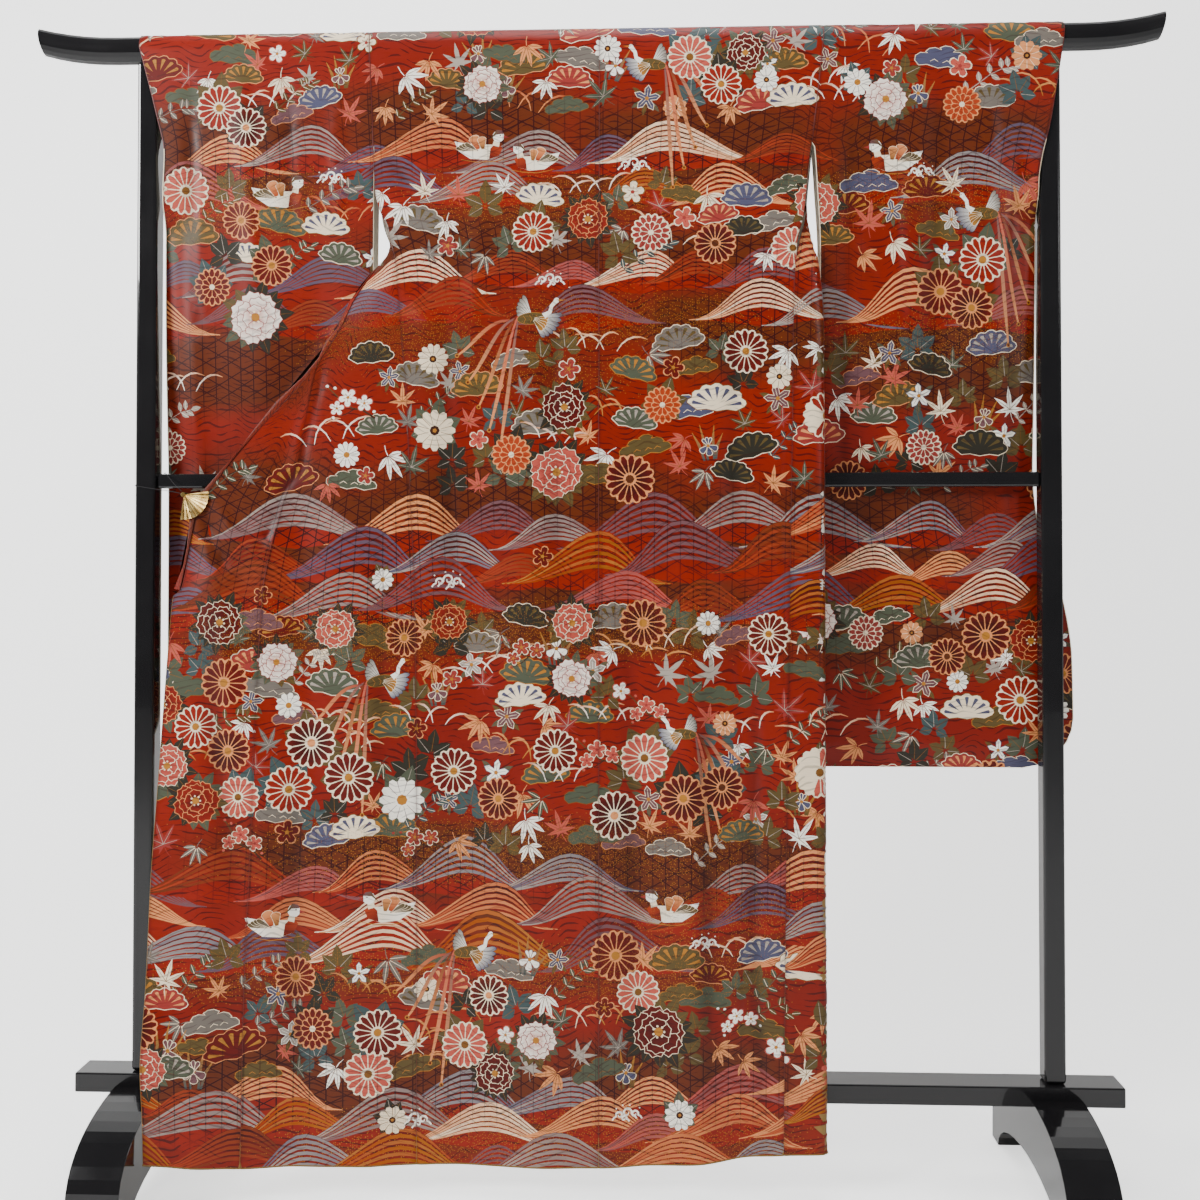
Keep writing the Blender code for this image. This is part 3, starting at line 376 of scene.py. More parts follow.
frontPanel = {
    "left": Sizes("z sideX sideY midX midY innerX innerY", (
        (0.054, -0.2466, -0.0503, -0.37, -0.066, -0.4867, -0.085),
        (0.284, -0.247, -0.0482, -0.37, -0.061, -0.4857, -0.075),
        (0.491, -0.2474, -0.0465, -0.365, -0.055, -0.4807, -0.065),
        (0.843, -0.2524, -0.043, -0.36, -0.047, -0.4697, -0.052),
        (0.976, -0.259, -0.041, -0.35, -0.044, -0.4447, -0.046),
        (1.05, -0.2624, -0.0403, -0.34, -0.042, -0.4197, -0.044),
        (1.147, -0.2668, -0.0388, -0.333, -0.0405, -0.4027, -0.042),
        (1.178, -0.27, -0.0379, -0.328, -0.04, -0.3945, -0.041),
        (1.21, -0.273, -0.037, -0.322, -0.039, -0.374, -0.04),
        (1.24, -0.2756, -0.036, -0.315, -0.038, -0.357, -0.037),
        (1.27, -0.2786, -0.0345, -0.311, -0.0365, -0.345, -0.032),
        (1.298, -0.281, -0.033, -0.306, -0.034, -0.329, -0.026),
        (1.318, -0.2826, -0.0316, -0.3, -0.03, -0.316, -0.02),
        (1.338, -0.286, -0.0275, -0.298, -0.021, -0.303, -0.011),
        (1.35, -0.291, -0.02, -0.297, -0.011, -0.289, -0.004),
        (1.362, -0.296, -0.012, -0.289, -0.003, -0.268, 0.002),
        (1.39, -0.307, 0.003, -0.27, 0.009, -0.233, 0.009),
        (1.42, -0.313, 0.012, -0.256, 0.015, -0.198, 0.013),
        (1.455, -0.316, 0.016, -0.24, 0.0175, -0.164, 0.0165),
        (1.5, -0.3187, far, -0.22, far, -0.122, far),
        (1.545, -0.321, far, -0.2, far, -0.08, far),
        (1.64, -0.3256, far, -0.19, far, -0.06, far),
    )),
    "right": Sizes("z sideX sideY foldX foldY backX backY innerX innerY", (
        (0.074, 0.2686, -0.049, 0.327, -0.048, 0.328, -0.035, 0.15, -0.032),
        (0.419, 0.2724, -0.0468, 0.327, -0.0455, 0.328, -0.033, 0.15, -0.031),
        (0.843, 0.2794, -0.043, 0.327, -0.042, 0.328, -0.029, 0.148, -0.02),
        (1.0, 0.282, -0.041, 0.3275, -0.039, 0.328, -0.026, 0.147, -0.016),
        (1.1, 0.2844, -0.04, 0.3275, -0.0375, 0.328, -0.024, 0.146, -0.013),
        (1.205, 0.2858, -0.037, 0.3275, -0.0345, 0.328, -0.02, 0.142, -0.005),
        (1.266, 0.2874, -0.035, 0.3265, -0.033, 0.326, -0.015, 0.138, 0.002),
        (1.326, 0.29, -0.032, 0.321, -0.027, 0.318, -0.006, 0.134, 0.008),
        (1.34, 0.2935, -0.03, 0.319, -0.023, 0.314, -0.002, 0.1325, 0.009),
        (1.356, 0.297, -0.025, 0.316, -0.015, 0.309, 0.003, 0.131, 0.01),
        (1.392, 0.307, -0.008, 0.311, -0.002, 0.3, 0.009, 0.127, 0.013),
        (1.43, 0.311, 0.003, 0.308, 0.011, 0.29, 0.015, 0.122, 0.016),
        (1.482, 0.3165, 0.015, 0.3, 0.0175, 0.275, far, 0.112, far),
        (1.545, 0.322, far, 0.29, far, 0.26, far, 0.1, far),
        (1.64, 0.3326, far, 0.3, far, 0.26, far, 0.08, far),
    )),
    "leftColumns": 32, "rightColumns": 32, "sideApart": 0.0008,
    "neckHalf": 0.09, "neckHeight": 0.09, "neckSideZ": 1.545,
}
frontLevels = [1.6397, 1.6354, 1.634, 1.63] + levels(cloth["hemZ"], 1.624)[::-1]


def neckEdge(z, side):
    up = min(1.0, (z - frontPanel["neckSideZ"]) / frontPanel["neckHeight"])
    reach = frontPanel["neckHalf"] * math.sqrt(max(0.0, 1 - up * up))
    return cloth["seamX"] + side * max(reach, backPanel["seamGap"] / 2)


def frontPlaces(level, side, back, front):
    at = {name: front.read(name, level) for name in front.columns[1:]}
    if level < cloth["armOpenZ"]:
        at["sideX"] = back.read("sideX", level) + side * frontPanel["sideApart"]
        at["sideY"] = back.read("y", level)
    elif level >= cloth["sewnFromZ"]:
        at["sideX"] = back.read("sideX", level)
        at["sideY"] = far
    return at


def leftFrontGrid():
    u = np.linspace(0.0, 1.0, frontPanel["leftColumns"] + 1)
    a, b, c = (1 - u) * (1 - 2 * u), 4 * u * (1 - u), u * (2 * u - 1)
    rows = []
    for level in frontLevels:
        at = frontPlaces(level, -1, backPanel["left"], frontPanel["left"])
        if level > frontPanel["neckSideZ"]:
            at["innerX"] = neckEdge(level, -1)
            at["midX"] = (at["sideX"] + at["innerX"]) / 2
        x = a * at["sideX"] + b * at["midX"] + c * at["innerX"]
        y = a * at["sideY"] + b * at["midY"] + c * at["innerY"]
        y = y + foldDepth(spreadFolds, x, level) * smoothStep(0.0, 0.3, u)
        lift = np.array([hemLift(q, level) for q in x]) if level < 0.5 else 0.0
        rows.append(np.stack([x, y, level + lift + x * 0], axis=1))
    return np.array(rows)


def rightFrontGrid():
    rows = []
    for level in frontLevels:
        at = frontPlaces(level, 1, backPanel["right"], frontPanel["right"])
        if level > frontPanel["neckSideZ"]:
            at["innerX"] = neckEdge(level, 1)
            at["foldX"] = blend(at["sideX"], at["innerX"], 0.2)
            at["backX"] = blend(at["sideX"], at["innerX"], 0.5)
        stops = ("side", "fold", "back", "inner")
        route = [Vector((at[stop + "X"], at[stop + "Y"], level)) for stop in stops]
        row = curveThrough(route, frontPanel["rightColumns"])
        for n, p in enumerate(row):
            if level < 1.3 and n > frontPanel["rightColumns"] / 2:
                p.y += float(foldDepth(rearFolds, p.x, level))
            p.z += hemLift(p.x, level)
        rows.append([tuple(p) for p in row])
    return np.array(rows)


overlapStrip = {
    "left": Sizes("z edgeX edgeY", (
        (0.05, -0.61, -0.12),
        (0.12, -0.6125, -0.119),
        (0.187, -0.617, -0.115),
        (0.289, -0.618, -0.095),
        (0.423, -0.619, -0.078),
        (0.617, -0.612, -0.062),
        (0.8, -0.602, -0.053),
        (0.851, -0.5975, -0.051),
        (0.857, -0.5878, -0.0505),
        (0.9, -0.579, -0.048),
        (0.955, -0.57, -0.0465),
        (0.98, -0.564, -0.0465),
        (1.022, -0.5325, -0.046),
        (1.08, -0.4835, -0.044),
        (1.16, -0.4115, -0.0415),
        (1.178, -0.3985, -0.0411),
    )),
    "right": Sizes("z edgeX edgeY", (
        (0.05, 0.0, -0.032),
        (0.419, 0.0, -0.031),
        (0.851, 0.001, -0.0198),
        (0.857, 0.062, -0.0197),
        (1.0, 0.095, -0.0155),
        (1.1, 0.119, -0.012),
        (1.178, 0.1395, -0.0063),
    )),
    "columns": 18, "apart": 0.0006,
}


def stripGrid(table, front, folds):
    rows = []
    shares = np.linspace(0.0, 1.0, overlapStrip["columns"] + 1)
    for level, edgeRow in zip(frontLevels, front):
        if level > cloth["okumiTopZ"]:
            continue
        start = edgeRow[-1] + np.array((-overlapStrip["apart"], 0.0, 0.0))
        edgeX = table.read("edgeX", level)
        end = np.array((edgeX, table.read("edgeY", level), level + hemLift(edgeX, level)))
        row = start[None, :] + (end - start)[None, :] * shares[:, None]
        row[:, 1] += (foldDepth(folds, row[:, 0], level) * smoothStep(0.0, 0.3, shares)
                      * (1 - smoothStep(0.7, 1.0, shares)))
        rows.append(row)
    return np.array(rows)


collarBand = {
    "left": Sizes("z shown behind bend", (
        (0.857, 0.0098, 0.048, 1.0),
        (1.12, 0.0098, 0.048, 1.0),
        (1.178, 0.0098, 0.03, 1.0),
        (1.21, 0.0096, 0.012, 1.0),
        (1.24, 0.009, 0.003, 1.0),
        (1.27, 0.006, 0.001, 0.5),
        (1.298, 0.0036, 0.0008, 0.0),
        (1.35, 0.0036, 0.0008, 0.0),
        (1.39, 0.006, 0.001, 0.0),
        (1.455, 0.024, 0.01, 0.0),
        (1.545, 0.04, 0.014, 0.0),
        (1.64, 0.04, 0.014, 0.0),
    )),
    "right": Sizes("z shown behind bend", (
        (0.857, 0.04, 0.014, 0.0),
        (1.64, 0.04, 0.014, 0.0),
    )),
    "levels": (1.6354, 1.634, 1.63, 1.622, 1.6, 1.575, 1.545, 1.5, 1.455, 1.42, 1.39, 1.362,
               1.35, 1.338, 1.318, 1.298, 1.27, 1.24, 1.21, 1.178, 1.12, 1.05, 0.976, 0.9, 0.857),
    "wall": 0.0022, "bend": 0.002, "apart": 0.0008,
}


def edgeAt(grid, gridLevels, level):
    # the last two points of a row, read between the fine rows
    i = max(n for n in range(len(gridLevels) - 1) if gridLevels[n] >= level - 1e-9)
    t = (gridLevels[i] - level) / (gridLevels[i] - gridLevels[i + 1])
    last = Vector(grid[i][-1]).lerp(Vector(grid[i + 1][-1]), t)
    before = Vector(grid[i][-5]).lerp(Vector(grid[i + 1][-5]), t)
    return last, (last - before).normalized()


def squareTo(direction, along):
    return (direction - along * direction.dot(along)).normalized()


def collarSide(table, panel, strip):
    stripLevels = [z for z in frontLevels if z <= cloth["okumiTopZ"]]
    lines = []
    for level in reversed(collarBand["levels"]):
        grid, gridLevels = (strip, stripLevels) if level < stripLevels[0] else (panel, frontLevels)
        point, way = edgeAt(grid, gridLevels, level)
        lines.append((point, way, [table.read(name, point.z) for name in table.columns[1:]]))
    return lines


def collarGrid(leftPanel, leftStrip, rightPanel, rightStrip):
    route = collarSide(collarBand["left"], leftPanel, leftStrip)
    route += collarSide(collarBand["right"], rightPanel, rightStrip)[::-1]
    last = len(route) - 1
    alongs = [(route[min(i + 1, last)][0] - route[max(i - 1, 0)][0]).normalized() for i in range(last + 1)]
    outs = [squareTo(route[i][1], alongs[i]) for i in range(last + 1)]
    outs = [squareTo(outs[max(i - 1, 0)] + 2 * outs[i] + outs[min(i + 1, last)], alongs[i])
            for i in range(last + 1)]
    rows = []
    for (sewn, _, (shown, behind, bend)), along, out in zip(route, alongs, outs):
        inside = out.cross(along)
        step = min(collarBand["bend"], shown / 4)
        row = [sewn + out * collarBand["apart"], sewn + out * shown / 2, sewn + out * (shown - step)]
        for length, heading in ((step, 30), (step, 90), (step, 150), (behind / 2, 180), (behind / 2, 180)):
            turn = math.radians(heading * bend)
            row.append(row[-1] + (out * math.cos(turn) + inside * math.sin(turn)) * length)
        rows.append([tuple(p) for p in row])
    return np.array(rows)


sleevePiece = {
    "left": Sizes("z innerX outerX nearY farY", (
        (0.6, -0.33, -0.632, 0.018, 0.03),
        (0.8, -0.328, -0.632, 0.017, 0.0315),
        (0.95, -0.326, -0.632, 0.0165, 0.031),
        (1.03, -0.325, -0.632, 0.015, 0.03),
        (1.1, -0.324, -0.632, 0.008, 0.027),
        (1.2, -0.323, -0.632, -0.002, 0.024),
        (1.35, -0.321, -0.631, -0.012, 0.021),
        (1.44, -0.3196, -0.629, -0.017, 0.0195),
        (1.495, -0.3188, -0.6265, -0.0192, 0.0185),
        (1.55, -0.3212, -0.638, -0.019, far),
        (1.653, -0.3263, -0.665, near, far),
    )),
    "right": Sizes("z innerX outerX nearY farY", (
        (0.6, 0.33, 0.694, 0.02, 0.033),
        (0.755, 0.327, 0.692, 0.02, 0.0335),
        (0.85, 0.326, 0.678, 0.0195, 0.0335),
        (0.9, 0.3255, 0.66, 0.0195, 0.033),
        (0.95, 0.325, 0.644, 0.019, 0.032),
        (1.03, 0.3245, 0.636, 0.0155, 0.031),
        (1.1, 0.324, 0.636, 0.008, 0.028),
        (1.2, 0.325, 0.6365, -0.001, 0.025),
        (1.25, 0.327, 0.6365, -0.0045, 0.024),
        (1.3, 0.3292, 0.6365, -0.008, 0.0225),
        (1.35, 0.329, 0.6365, -0.011, 0.021),
        (1.44, 0.324, 0.6365, -0.017, 0.0195),
        (1.47, 0.322, 0.64, -0.0185, 0.019),
        (1.524, 0.3183, 0.6525, -0.0192, 0.0182),
        (1.653, 0.3333, 0.674, near, far),
    )),
    "bottomZ": 0.6, "cuffEndZ": 1.44, "corner": 0.075, "closedApart": 0.0013,
    "seamApart": 0.0008, "columns": 38,
}


def sleeveRow(table, back, level, side, layer):
    at = {name: table.read(name, level) for name in table.columns[1:]}
    if level >= cloth["sewnFromZ"]:
        at["innerX"] = back.read("sideX", level) + side * sleevePiece["seamApart"]
    outer = at["outerX"]
    corner = sleevePiece["corner"]
    if level < sleevePiece["bottomZ"] + corner:
        down = sleevePiece["bottomZ"] + corner - level
        outer -= side * (corner - math.sqrt(corner**2 - down**2))
    middle = (at["nearY"] + at["farY"]) / 2
    shares = np.linspace(0.0, 1.0, sleevePiece["columns"] + 1)
    x = blend(at["innerX"], outer, shares)
    underCuff = 1 - float(smoothStep(sleevePiece["cuffEndZ"] - 0.06, sleevePiece["cuffEndZ"] - 0.01, level))
    sewnLow = 1 - float(smoothStep(0.0, 0.035, level - sleevePiece["bottomZ"]))
    closed = np.maximum(smoothStep(0.84, 1.0, shares) * underCuff, sewnLow)
    sign = -1 if layer == "near" else 1
    y = blend(at[layer + "Y"], middle + sign * sleevePiece["closedApart"], closed)
    y = y + foldDepth(sleeveFolds, abs(x), level) * (1 - closed)
    return np.stack([x, y, x * 0 + level], axis=1)


def sleeveGrid(table, back, side):
    low = [sleevePiece["bottomZ"] + a for a in (0.0, 0.003, 0.008)]
    heights = low + levels(sleevePiece["bottomZ"] + 0.015, cloth["barZ"])
    rows = [sleeveRow(table, back, level, side, "near") for level in heights]
    top = rows[-1]
    for turn in spread(0.0, 1.0, cloth["wrapSteps"])[1:-1]:
        y, z = overBar(turn)
        rows.append(np.stack([top[:, 0], top[:, 0] * 0 + y, top[:, 0] * 0 + z], axis=1))
    rows += [sleeveRow(table, back, level, side, "far") for level in reversed(heights)]
    return np.array(rows)


# the drawn picture on the silk: flat coloured shapes, later ones on top, in metres across and up
dye = {name: srgb(*tone) for name, tone in {
    "vermilion": (134, 23, 2), "scarlet": (92, 10, 1), "deepRed": (44, 2, 2), "brownGold": (84, 38, 8),
    "gold": (170, 110, 34), "oldGold": (118, 74, 22), "peach": (216, 138, 84), "orange": (160, 52, 14),
    "mauve": (104, 68, 72), "blueGrey": (72, 72, 96), "grey": (106, 98, 90), "pink": (184, 78, 64),
    "paleGrey": (160, 148, 136), "rose": (142, 46, 40), "cream": (240, 220, 188), "white": (250, 244, 230),
    "olive": (84, 68, 34), "darkLeaf": (40, 37, 27), "greyGreen": (72, 77, 60), "brown": (56, 27, 15),
    "night": (26, 22, 24), "teal": (58, 74, 74), "lining": (232, 226, 212),
    "hemGold": (138, 104, 42)}.items()}


class Picture:
    def __init__(self):
        self.points, self.tones = [], []

    def add(self, points, tone, tip=None, axis=None, gold=0.0):
        points = np.asarray(points, float)
        start, end = axis if axis is not None else (points[0], points[len(points) // 2])
        self.points.append(points)
        self.tones.append((*dye[tone], *dye[tip or tone], *start, *end, gold))


def inset(points, width):
    p = np.asarray(points, float)
    before, after = unit(p - np.roll(p, 1, 0)), unit(np.roll(p, -1, 0) - p)
    area = np.sum(p[:, 0] * np.roll(p[:, 1], -1) - p[:, 1] * np.roll(p[:, 0], -1))
    sign = 1.0 if area > 0 else -1.0
    first = np.stack([-before[:, 1], before[:, 0]], axis=1)
    way = unit(first + np.stack([-after[:, 1], after[:, 0]], axis=1))
    # sharp corners reach no further than the limit
    reach = 1 / np.maximum(0.55, np.sum(way * first, axis=1, keepdims=True))
    return p + way * reach * width * sign


def polar(radius, degrees):
    return radius * math.cos(math.radians(degrees)), radius * math.sin(math.radians(degrees))


def turned(points, degrees):
    c, s = math.cos(math.radians(degrees)), math.sin(math.radians(degrees))
    return [(c * a - s * b, s * a + c * b) for a, b in points]


def mirrored(outline, tipped=False):
    # both edges of a shape, from half of it
    back = outline[:-1] if tipped else outline
    return outline + [(r, -w) for r, w in reversed(back)]


class Pen:
    # draws about one point, turned, sized and perhaps mirrored
    def __init__(self, picture, x, z, size, turn=0.0, flip=1):
        self.picture, self.x, self.z, self.size, self.turn, self.flip = picture, x, z, size, turn, flip

    def place(self, points):
        p = np.asarray(points, float)
        c, s = math.cos(math.radians(self.turn)), math.sin(math.radians(self.turn))
        x = p[:, 0] * self.flip
        return np.stack([self.x + self.size * (c * x - s * p[:, 1]),
                         self.z + self.size * (s * x + c * p[:, 1])],
                        axis=1)

    def at(self, x, z, size=1.0, turn=0.0, flip=1):
        centre = self.place([(x, z)])[0]
        return Pen(self.picture, centre[0], centre[1], self.size * size, self.turn + self.flip * turn,
                   self.flip * flip)

    def fill(self, points, tone, tip=None, axis=None, gold=0.0):
        self.picture.add(self.place(points), tone, tip, None if axis is None else self.place(axis), gold)

    def lined(self, points, tone, line, tip=None, axis=None, width=0.0009, gold=0.0):
        placed = self.place(points)
        axis = None if axis is None else self.place(axis)
        self.picture.add(placed, line, gold=gold)
        self.picture.add(inset(placed, width), tone, tip, axis)

    def stroke(self, points, widths, tone, tip=None, gold=0.0):
        # a band along a line, its widths in metres from start to end
        p = self.place(points)
        way = unit(np.gradient(p, axis=0))
        half = np.interp(np.linspace(0, 1, len(p)), np.linspace(0, 1, len(widths)), widths)[:, None] / 2
        side = np.stack([-way[:, 1], way[:, 0]], axis=1) * half
        self.picture.add(np.concatenate([p + side, (p - side)[::-1]]), tone, tip, (p[0], p[-1]), gold)

    def dot(self, x, z, radius, tone, sides=9, tip=None, gold=0.0):
        self.fill([(x + radius * math.cos(math.tau * n / sides), z + radius * math.sin(math.tau * n / sides))
                   for n in range(sides)], tone, tip, gold=gold)

    def petal(self, degrees, start, end, half, tone, line, tip=None, shoulder=0.75, width=0.0009):
        # a loop petal from start to end along its own direction
        outline = [(start, 0.36 * half), (blend(start, end, shoulder), 1.0 * half),
                   (blend(start, end, 0.93), 0.74 * half), (end, 0.26 * half)]
        self.lined(turned(mirrored(outline), degrees), tone, line, tip,
                   (polar(start, degrees), polar(end, degrees)),
                   width)

    def leaf(self, degrees, start, end, half, tone, vein=None, tip=None):
        length = end - start
        outline = [(start + r * length, w * half)
                   for r, w in ((0.0, 0.06), (0.3, 0.88), (0.62, 0.86), (0.86, 0.36), (1.0, 0.0))]
        self.fill(turned(mirrored(outline, True), degrees), tone, tip,
                  (polar(start, degrees), polar(end, degrees)))
        if vein:
            self.stroke([polar(start + r * length, degrees) for r in (0.05, 0.9)], (0.0009, 0.0005), vein)

    def scallops(self, count, notch, tone, reach=1.0, tip=None, steps=3):
        # a disc with a rounded edge of petal ends
        points = []
        for n in range(count):
            for k in range(steps):
                share = k / steps
                r = notch + (1 - notch) * math.sin(math.pi * share) ** 0.6 if k else notch
                points.append(polar(r * reach, 360 * (n - 0.5 + share) / count))
        self.fill(points, tone, tip, (points[0], (0, 0)))

    def drop(self, degrees, start, end, half, tone, tip=None):
        # a plain petal with few points
        outline = [(start, half * 0.25), (blend(start, end, 0.72), half), (end, half * 0.45)]
        self.fill(turned(mirrored(outline), degrees), tone, tip, (polar(start, degrees), polar(end, degrees)))


def choose(rng, sets):
    # one of several sets of tones
    return rng.choice([tuple(tones.split()) for tones in sets.split(", ")])


def chrysanthemum(pen, rng, tone=None):
    fill, line, heart = tone or choose(rng, "deepRed peach gold, scarlet cream gold, deepRed cream peach, "
                                            "scarlet peach gold, vermilion cream gold, deepRed peach "
                                            "brownGold, pink cream oldGold")
    count = 16
    pen.scallops(count, 0.9, line)
    for n in range(count):
        pen.drop(360 * n / count, 0.26, 0.93, 0.125, fill, "scarlet" if fill == "deepRed" else fill)
    pen.dot(0, 0, 0.17, heart, 9)


def doubleChrysanthemum(pen, rng):
    fill, line = choose(rng, "rose cream, orange peach, scarlet peach, deepRed peach")
    for count, reach, half in ((16, 1.0, 0.125), (10, 0.6, 0.115)):
        pen.scallops(count, 0.88, line, reach)
        for n in range(count):
            pen.drop(360 * n / count, 0.2 * reach, 0.92 * reach, half, fill)
    pen.dot(0, 0, 0.15, "cream", 8)


def daisy(pen, rng, tone=None):
    fill, line, heart = tone or choose(rng, "white grey brown, cream oldGold brown, white mauve gold, peach "
                                            "cream brown")
    count = rng.choice((10, 11, 12))
    pen.scallops(count, 0.8, fill)
    for n in range(count):
        pen.stroke([polar(0.3, 360 * (n + 0.5) / count), polar(0.84, 360 * (n + 0.5) / count)],
                   (0.0005, 0.0009), line)
    pen.dot(0, 0, 0.24, heart, 8)
    pen.dot(0, 0, 0.11, "gold", 5)


def peony(pen, rng, tone=None):
    fill, deep, line = tone or choose(rng, "scarlet deepRed cream, vermilion deepRed peach, white pink rose, "
                                           "pink rose cream")
    for n in range(5):
        peonyLeaf(pen.at(0, 0, 1.0, 72 * n + rng.uniform(-14, 14)), rng)
    for count, reach, base, turn in ((7, 1.0, 0.22, 0), (6, 0.76, 0.14, 23), (4, 0.5, 0.05, 8)):
        for n in range(count):
            middle = 360 * n / count + turn + rng.uniform(-5, 5)
            half = 360 / count * 0.6
            size = reach * rng.uniform(0.92, 1.06)
            edge = [polar(size * r, middle - half + 2 * half * k / 6)
                    for k, r in enumerate((0.78, 0.97, 0.92, 1.03, 0.92, 0.97, 0.78))]
            edge.append(polar(base, middle))
            pen.lined(edge, deep, line, tip=fill, axis=((0, 0), polar(size, middle)))
    pen.dot(0, 0, 0.16, "gold", 9)
    for n in range(7):
        pen.dot(*polar(0.2, 51 * n), 0.045, "cream", 6)


def peonyLeaf(pen, rng):
    tone = rng.choice("darkLeaf olive greyGreen darkLeaf".split())
    for turn, reach in ((-26, 1.28), (26, 1.24), (0, 1.46)):
        pen.leaf(turn, 0.45, reach, 0.24, tone, "oldGold")


def leafCluster(pen, rng):
    tone = rng.choice("darkLeaf olive greyGreen teal olive".split())
    for turn, reach in ((200, 0.8), (-20, 0.8), (40, 0.95), (140, 0.95), (90, 1.1)):
        pen.leaf(turn + rng.uniform(-10, 10), 0.1, reach, 0.27, tone, rng.choice("oldGold paleGrey".split()))


def maple(pen, rng, tone=None):
    tone = tone or rng.choice("white pink peach grey greyGreen rose cream paleGrey olive".split())
    lobes = ((-136, 0.46), (-94, 0.74), (-48, 0.94), (0, 1.06), (48, 0.94), (94, 0.74), (136, 0.46))
    points = []
    for turn, reach in lobes:
        up = 90 - turn
        points += [polar(reach * 0.6, up + 9.5), polar(reach, up), polar(reach * 0.6, up - 9.5),
                   polar(0.27, up - 23)]
    points[-1] = (0.0, -0.1)
    pen.fill(points, tone)
    pen.stroke([(0, -0.08), (0.03, -0.35), (0.12, -0.62)], (0.001, 0.0006), tone)
    vein = "oldGold" if tone in ("white", "cream", "peach", "pink") else "paleGrey"
    for turn, reach in lobes[1:-1]:
        pen.stroke([(0, 0), polar(reach * 0.8, 90 - turn)], (0.0008, 0.0004), vein)


def pineFan(pen, rng, tone=None):
    fill, line, rib = tone or choose(rng, "greyGreen cream paleGrey, blueGrey cream paleGrey, olive peach "
                                          "gold, rose cream peach, scarlet peach gold, darkLeaf cream olive, "
                                          "greyGreen gold gold, cream oldGold blueGrey, grey cream olive")
    count = 7
    points = []
    for n in range(count):
        for f in (0.03, 0.34, 0.66):
            turn = 180 * (n + f) / count
            r = 1 + 0.13 * math.sin(math.pi * f) ** 0.7
            points.append((r * math.cos(math.radians(turn)), 0.8 * r * math.sin(math.radians(turn))))
    points += [(-0.72, -0.14), (-0.38, -0.1), (0.0, -0.17), (0.38, -0.1), (0.72, -0.14)]
    pen.lined(points, fill, line, width=0.0011)
    for n in range(count):
        turn = math.radians(180 * (n + 0.5) / count)
        root, tip = ((r * math.cos(turn), 0.8 * r * math.sin(turn)) for r in (0.36, 0.9))
        x, z = -math.sin(turn) * 0.085, 0.8 * math.cos(turn) * 0.085
        pen.fill([root, (tip[0] - x, tip[1] - z), (tip[0] * 1.04, tip[1] * 1.04), (tip[0] + x, tip[1] + z)],
                 rib)


def cloud(pen, rng, tone=None):
    fill, line = tone or choose(rng, "grey cream, mauve peach, greyGreen cream, greyGreen oldGold, olive "
                                     "gold, blueGrey cream")
    points = []
    # each puff: its middle, its size, and from where to where its edge shows
    for x, z, r, start, end in ((-0.72, 0.05, 0.32, 200, 70), (-0.34, 0.24, 0.36, 165, 55),
                                (0.1, 0.34, 0.38, 140, 35), (0.48, 0.2, 0.34, 115, 10),
                                (0.8, 0.02, 0.26, 95, -25)):
        for k in range(4):
            turn = math.radians(blend(start, end, k / 3))
            points.append((x + r * math.cos(turn), z + 0.8 * r * math.sin(turn)))
    points += [(0.55, -0.2), (0.2, -0.12), (-0.15, -0.22), (-0.55, -0.14), (-0.85, -0.2)]
    pen.lined(points, fill, line)
    for x in (-0.3, 0.15, 0.5):
        pen.stroke([(x - 0.16, 0.0), (x - 0.02, 0.1), (x + 0.13, 0.02)], (0.0006, 0.001, 0.0006), line)


def bamboo(pen, rng, tone=None):
    tone = tone or rng.choice("white pink white grey peach greyGreen cream".split())
    vein = "oldGold" if tone in ("white", "cream", "peach", "pink") else "cream"
    for turn, reach in ((-158, 0.72), (-124, 0.98), (-90, 1.05), (-56, 0.98), (-22, 0.72)):
        pen.leaf(turn + rng.uniform(-6, 6), 0.06, reach * rng.uniform(0.9, 1.08), 0.115, tone, vein)
    pen.stroke([(0, 0), (0.04, 0.2), (0.14, 0.42)], (0.0012, 0.0008), tone)


def grass(pen, rng):
    # pairs of thin arcs that cross, rising and bending over
    tone, tip = choose(rng, "cream peach, peach orange, white peach, gold peach")
    for n in range(rng.choice((4, 5, 6))):
        foot = -0.9 + 0.36 * n + rng.uniform(-0.08, 0.08)
        side = 1 if n % 2 else -1
        reach, rise = rng.uniform(0.7, 1.1), rng.uniform(0.55, 1.0)
        line = []
        for t in np.linspace(0, 1, 6):
            line.append((foot + side * reach * t**1.25, rise * (1.9 * t - 1.25 * t * t)))
        pen.stroke(line, (0.0008, 0.0026, 0.003, 0.0008), tone, tip)


def blossom(pen, rng, tone=None):
    fill, line, heart = tone or choose(rng, "white pink gold, pink cream rose, rose cream gold, scarlet "
                                            "peach gold, cream oldGold rose")
    pen.scallops(5, 0.52, line, 1.06, steps=5)
    pen.scallops(5, 0.46, fill, 0.94, steps=5)
    pen.dot(0, 0, 0.17, heart, 7)
    for n in range(5):
        pen.stroke([polar(0.15, 72 * n), polar(0.46, 72 * n)], (0.0005, 0.001), heart)


def bud(pen, tone, leaf):
    pen.dot(0, 0.0, 0.5, tone, 8)
    pen.fill([(-0.45, -0.15), (0, -0.75), (0.45, -0.15), (0, -0.35)], leaf)


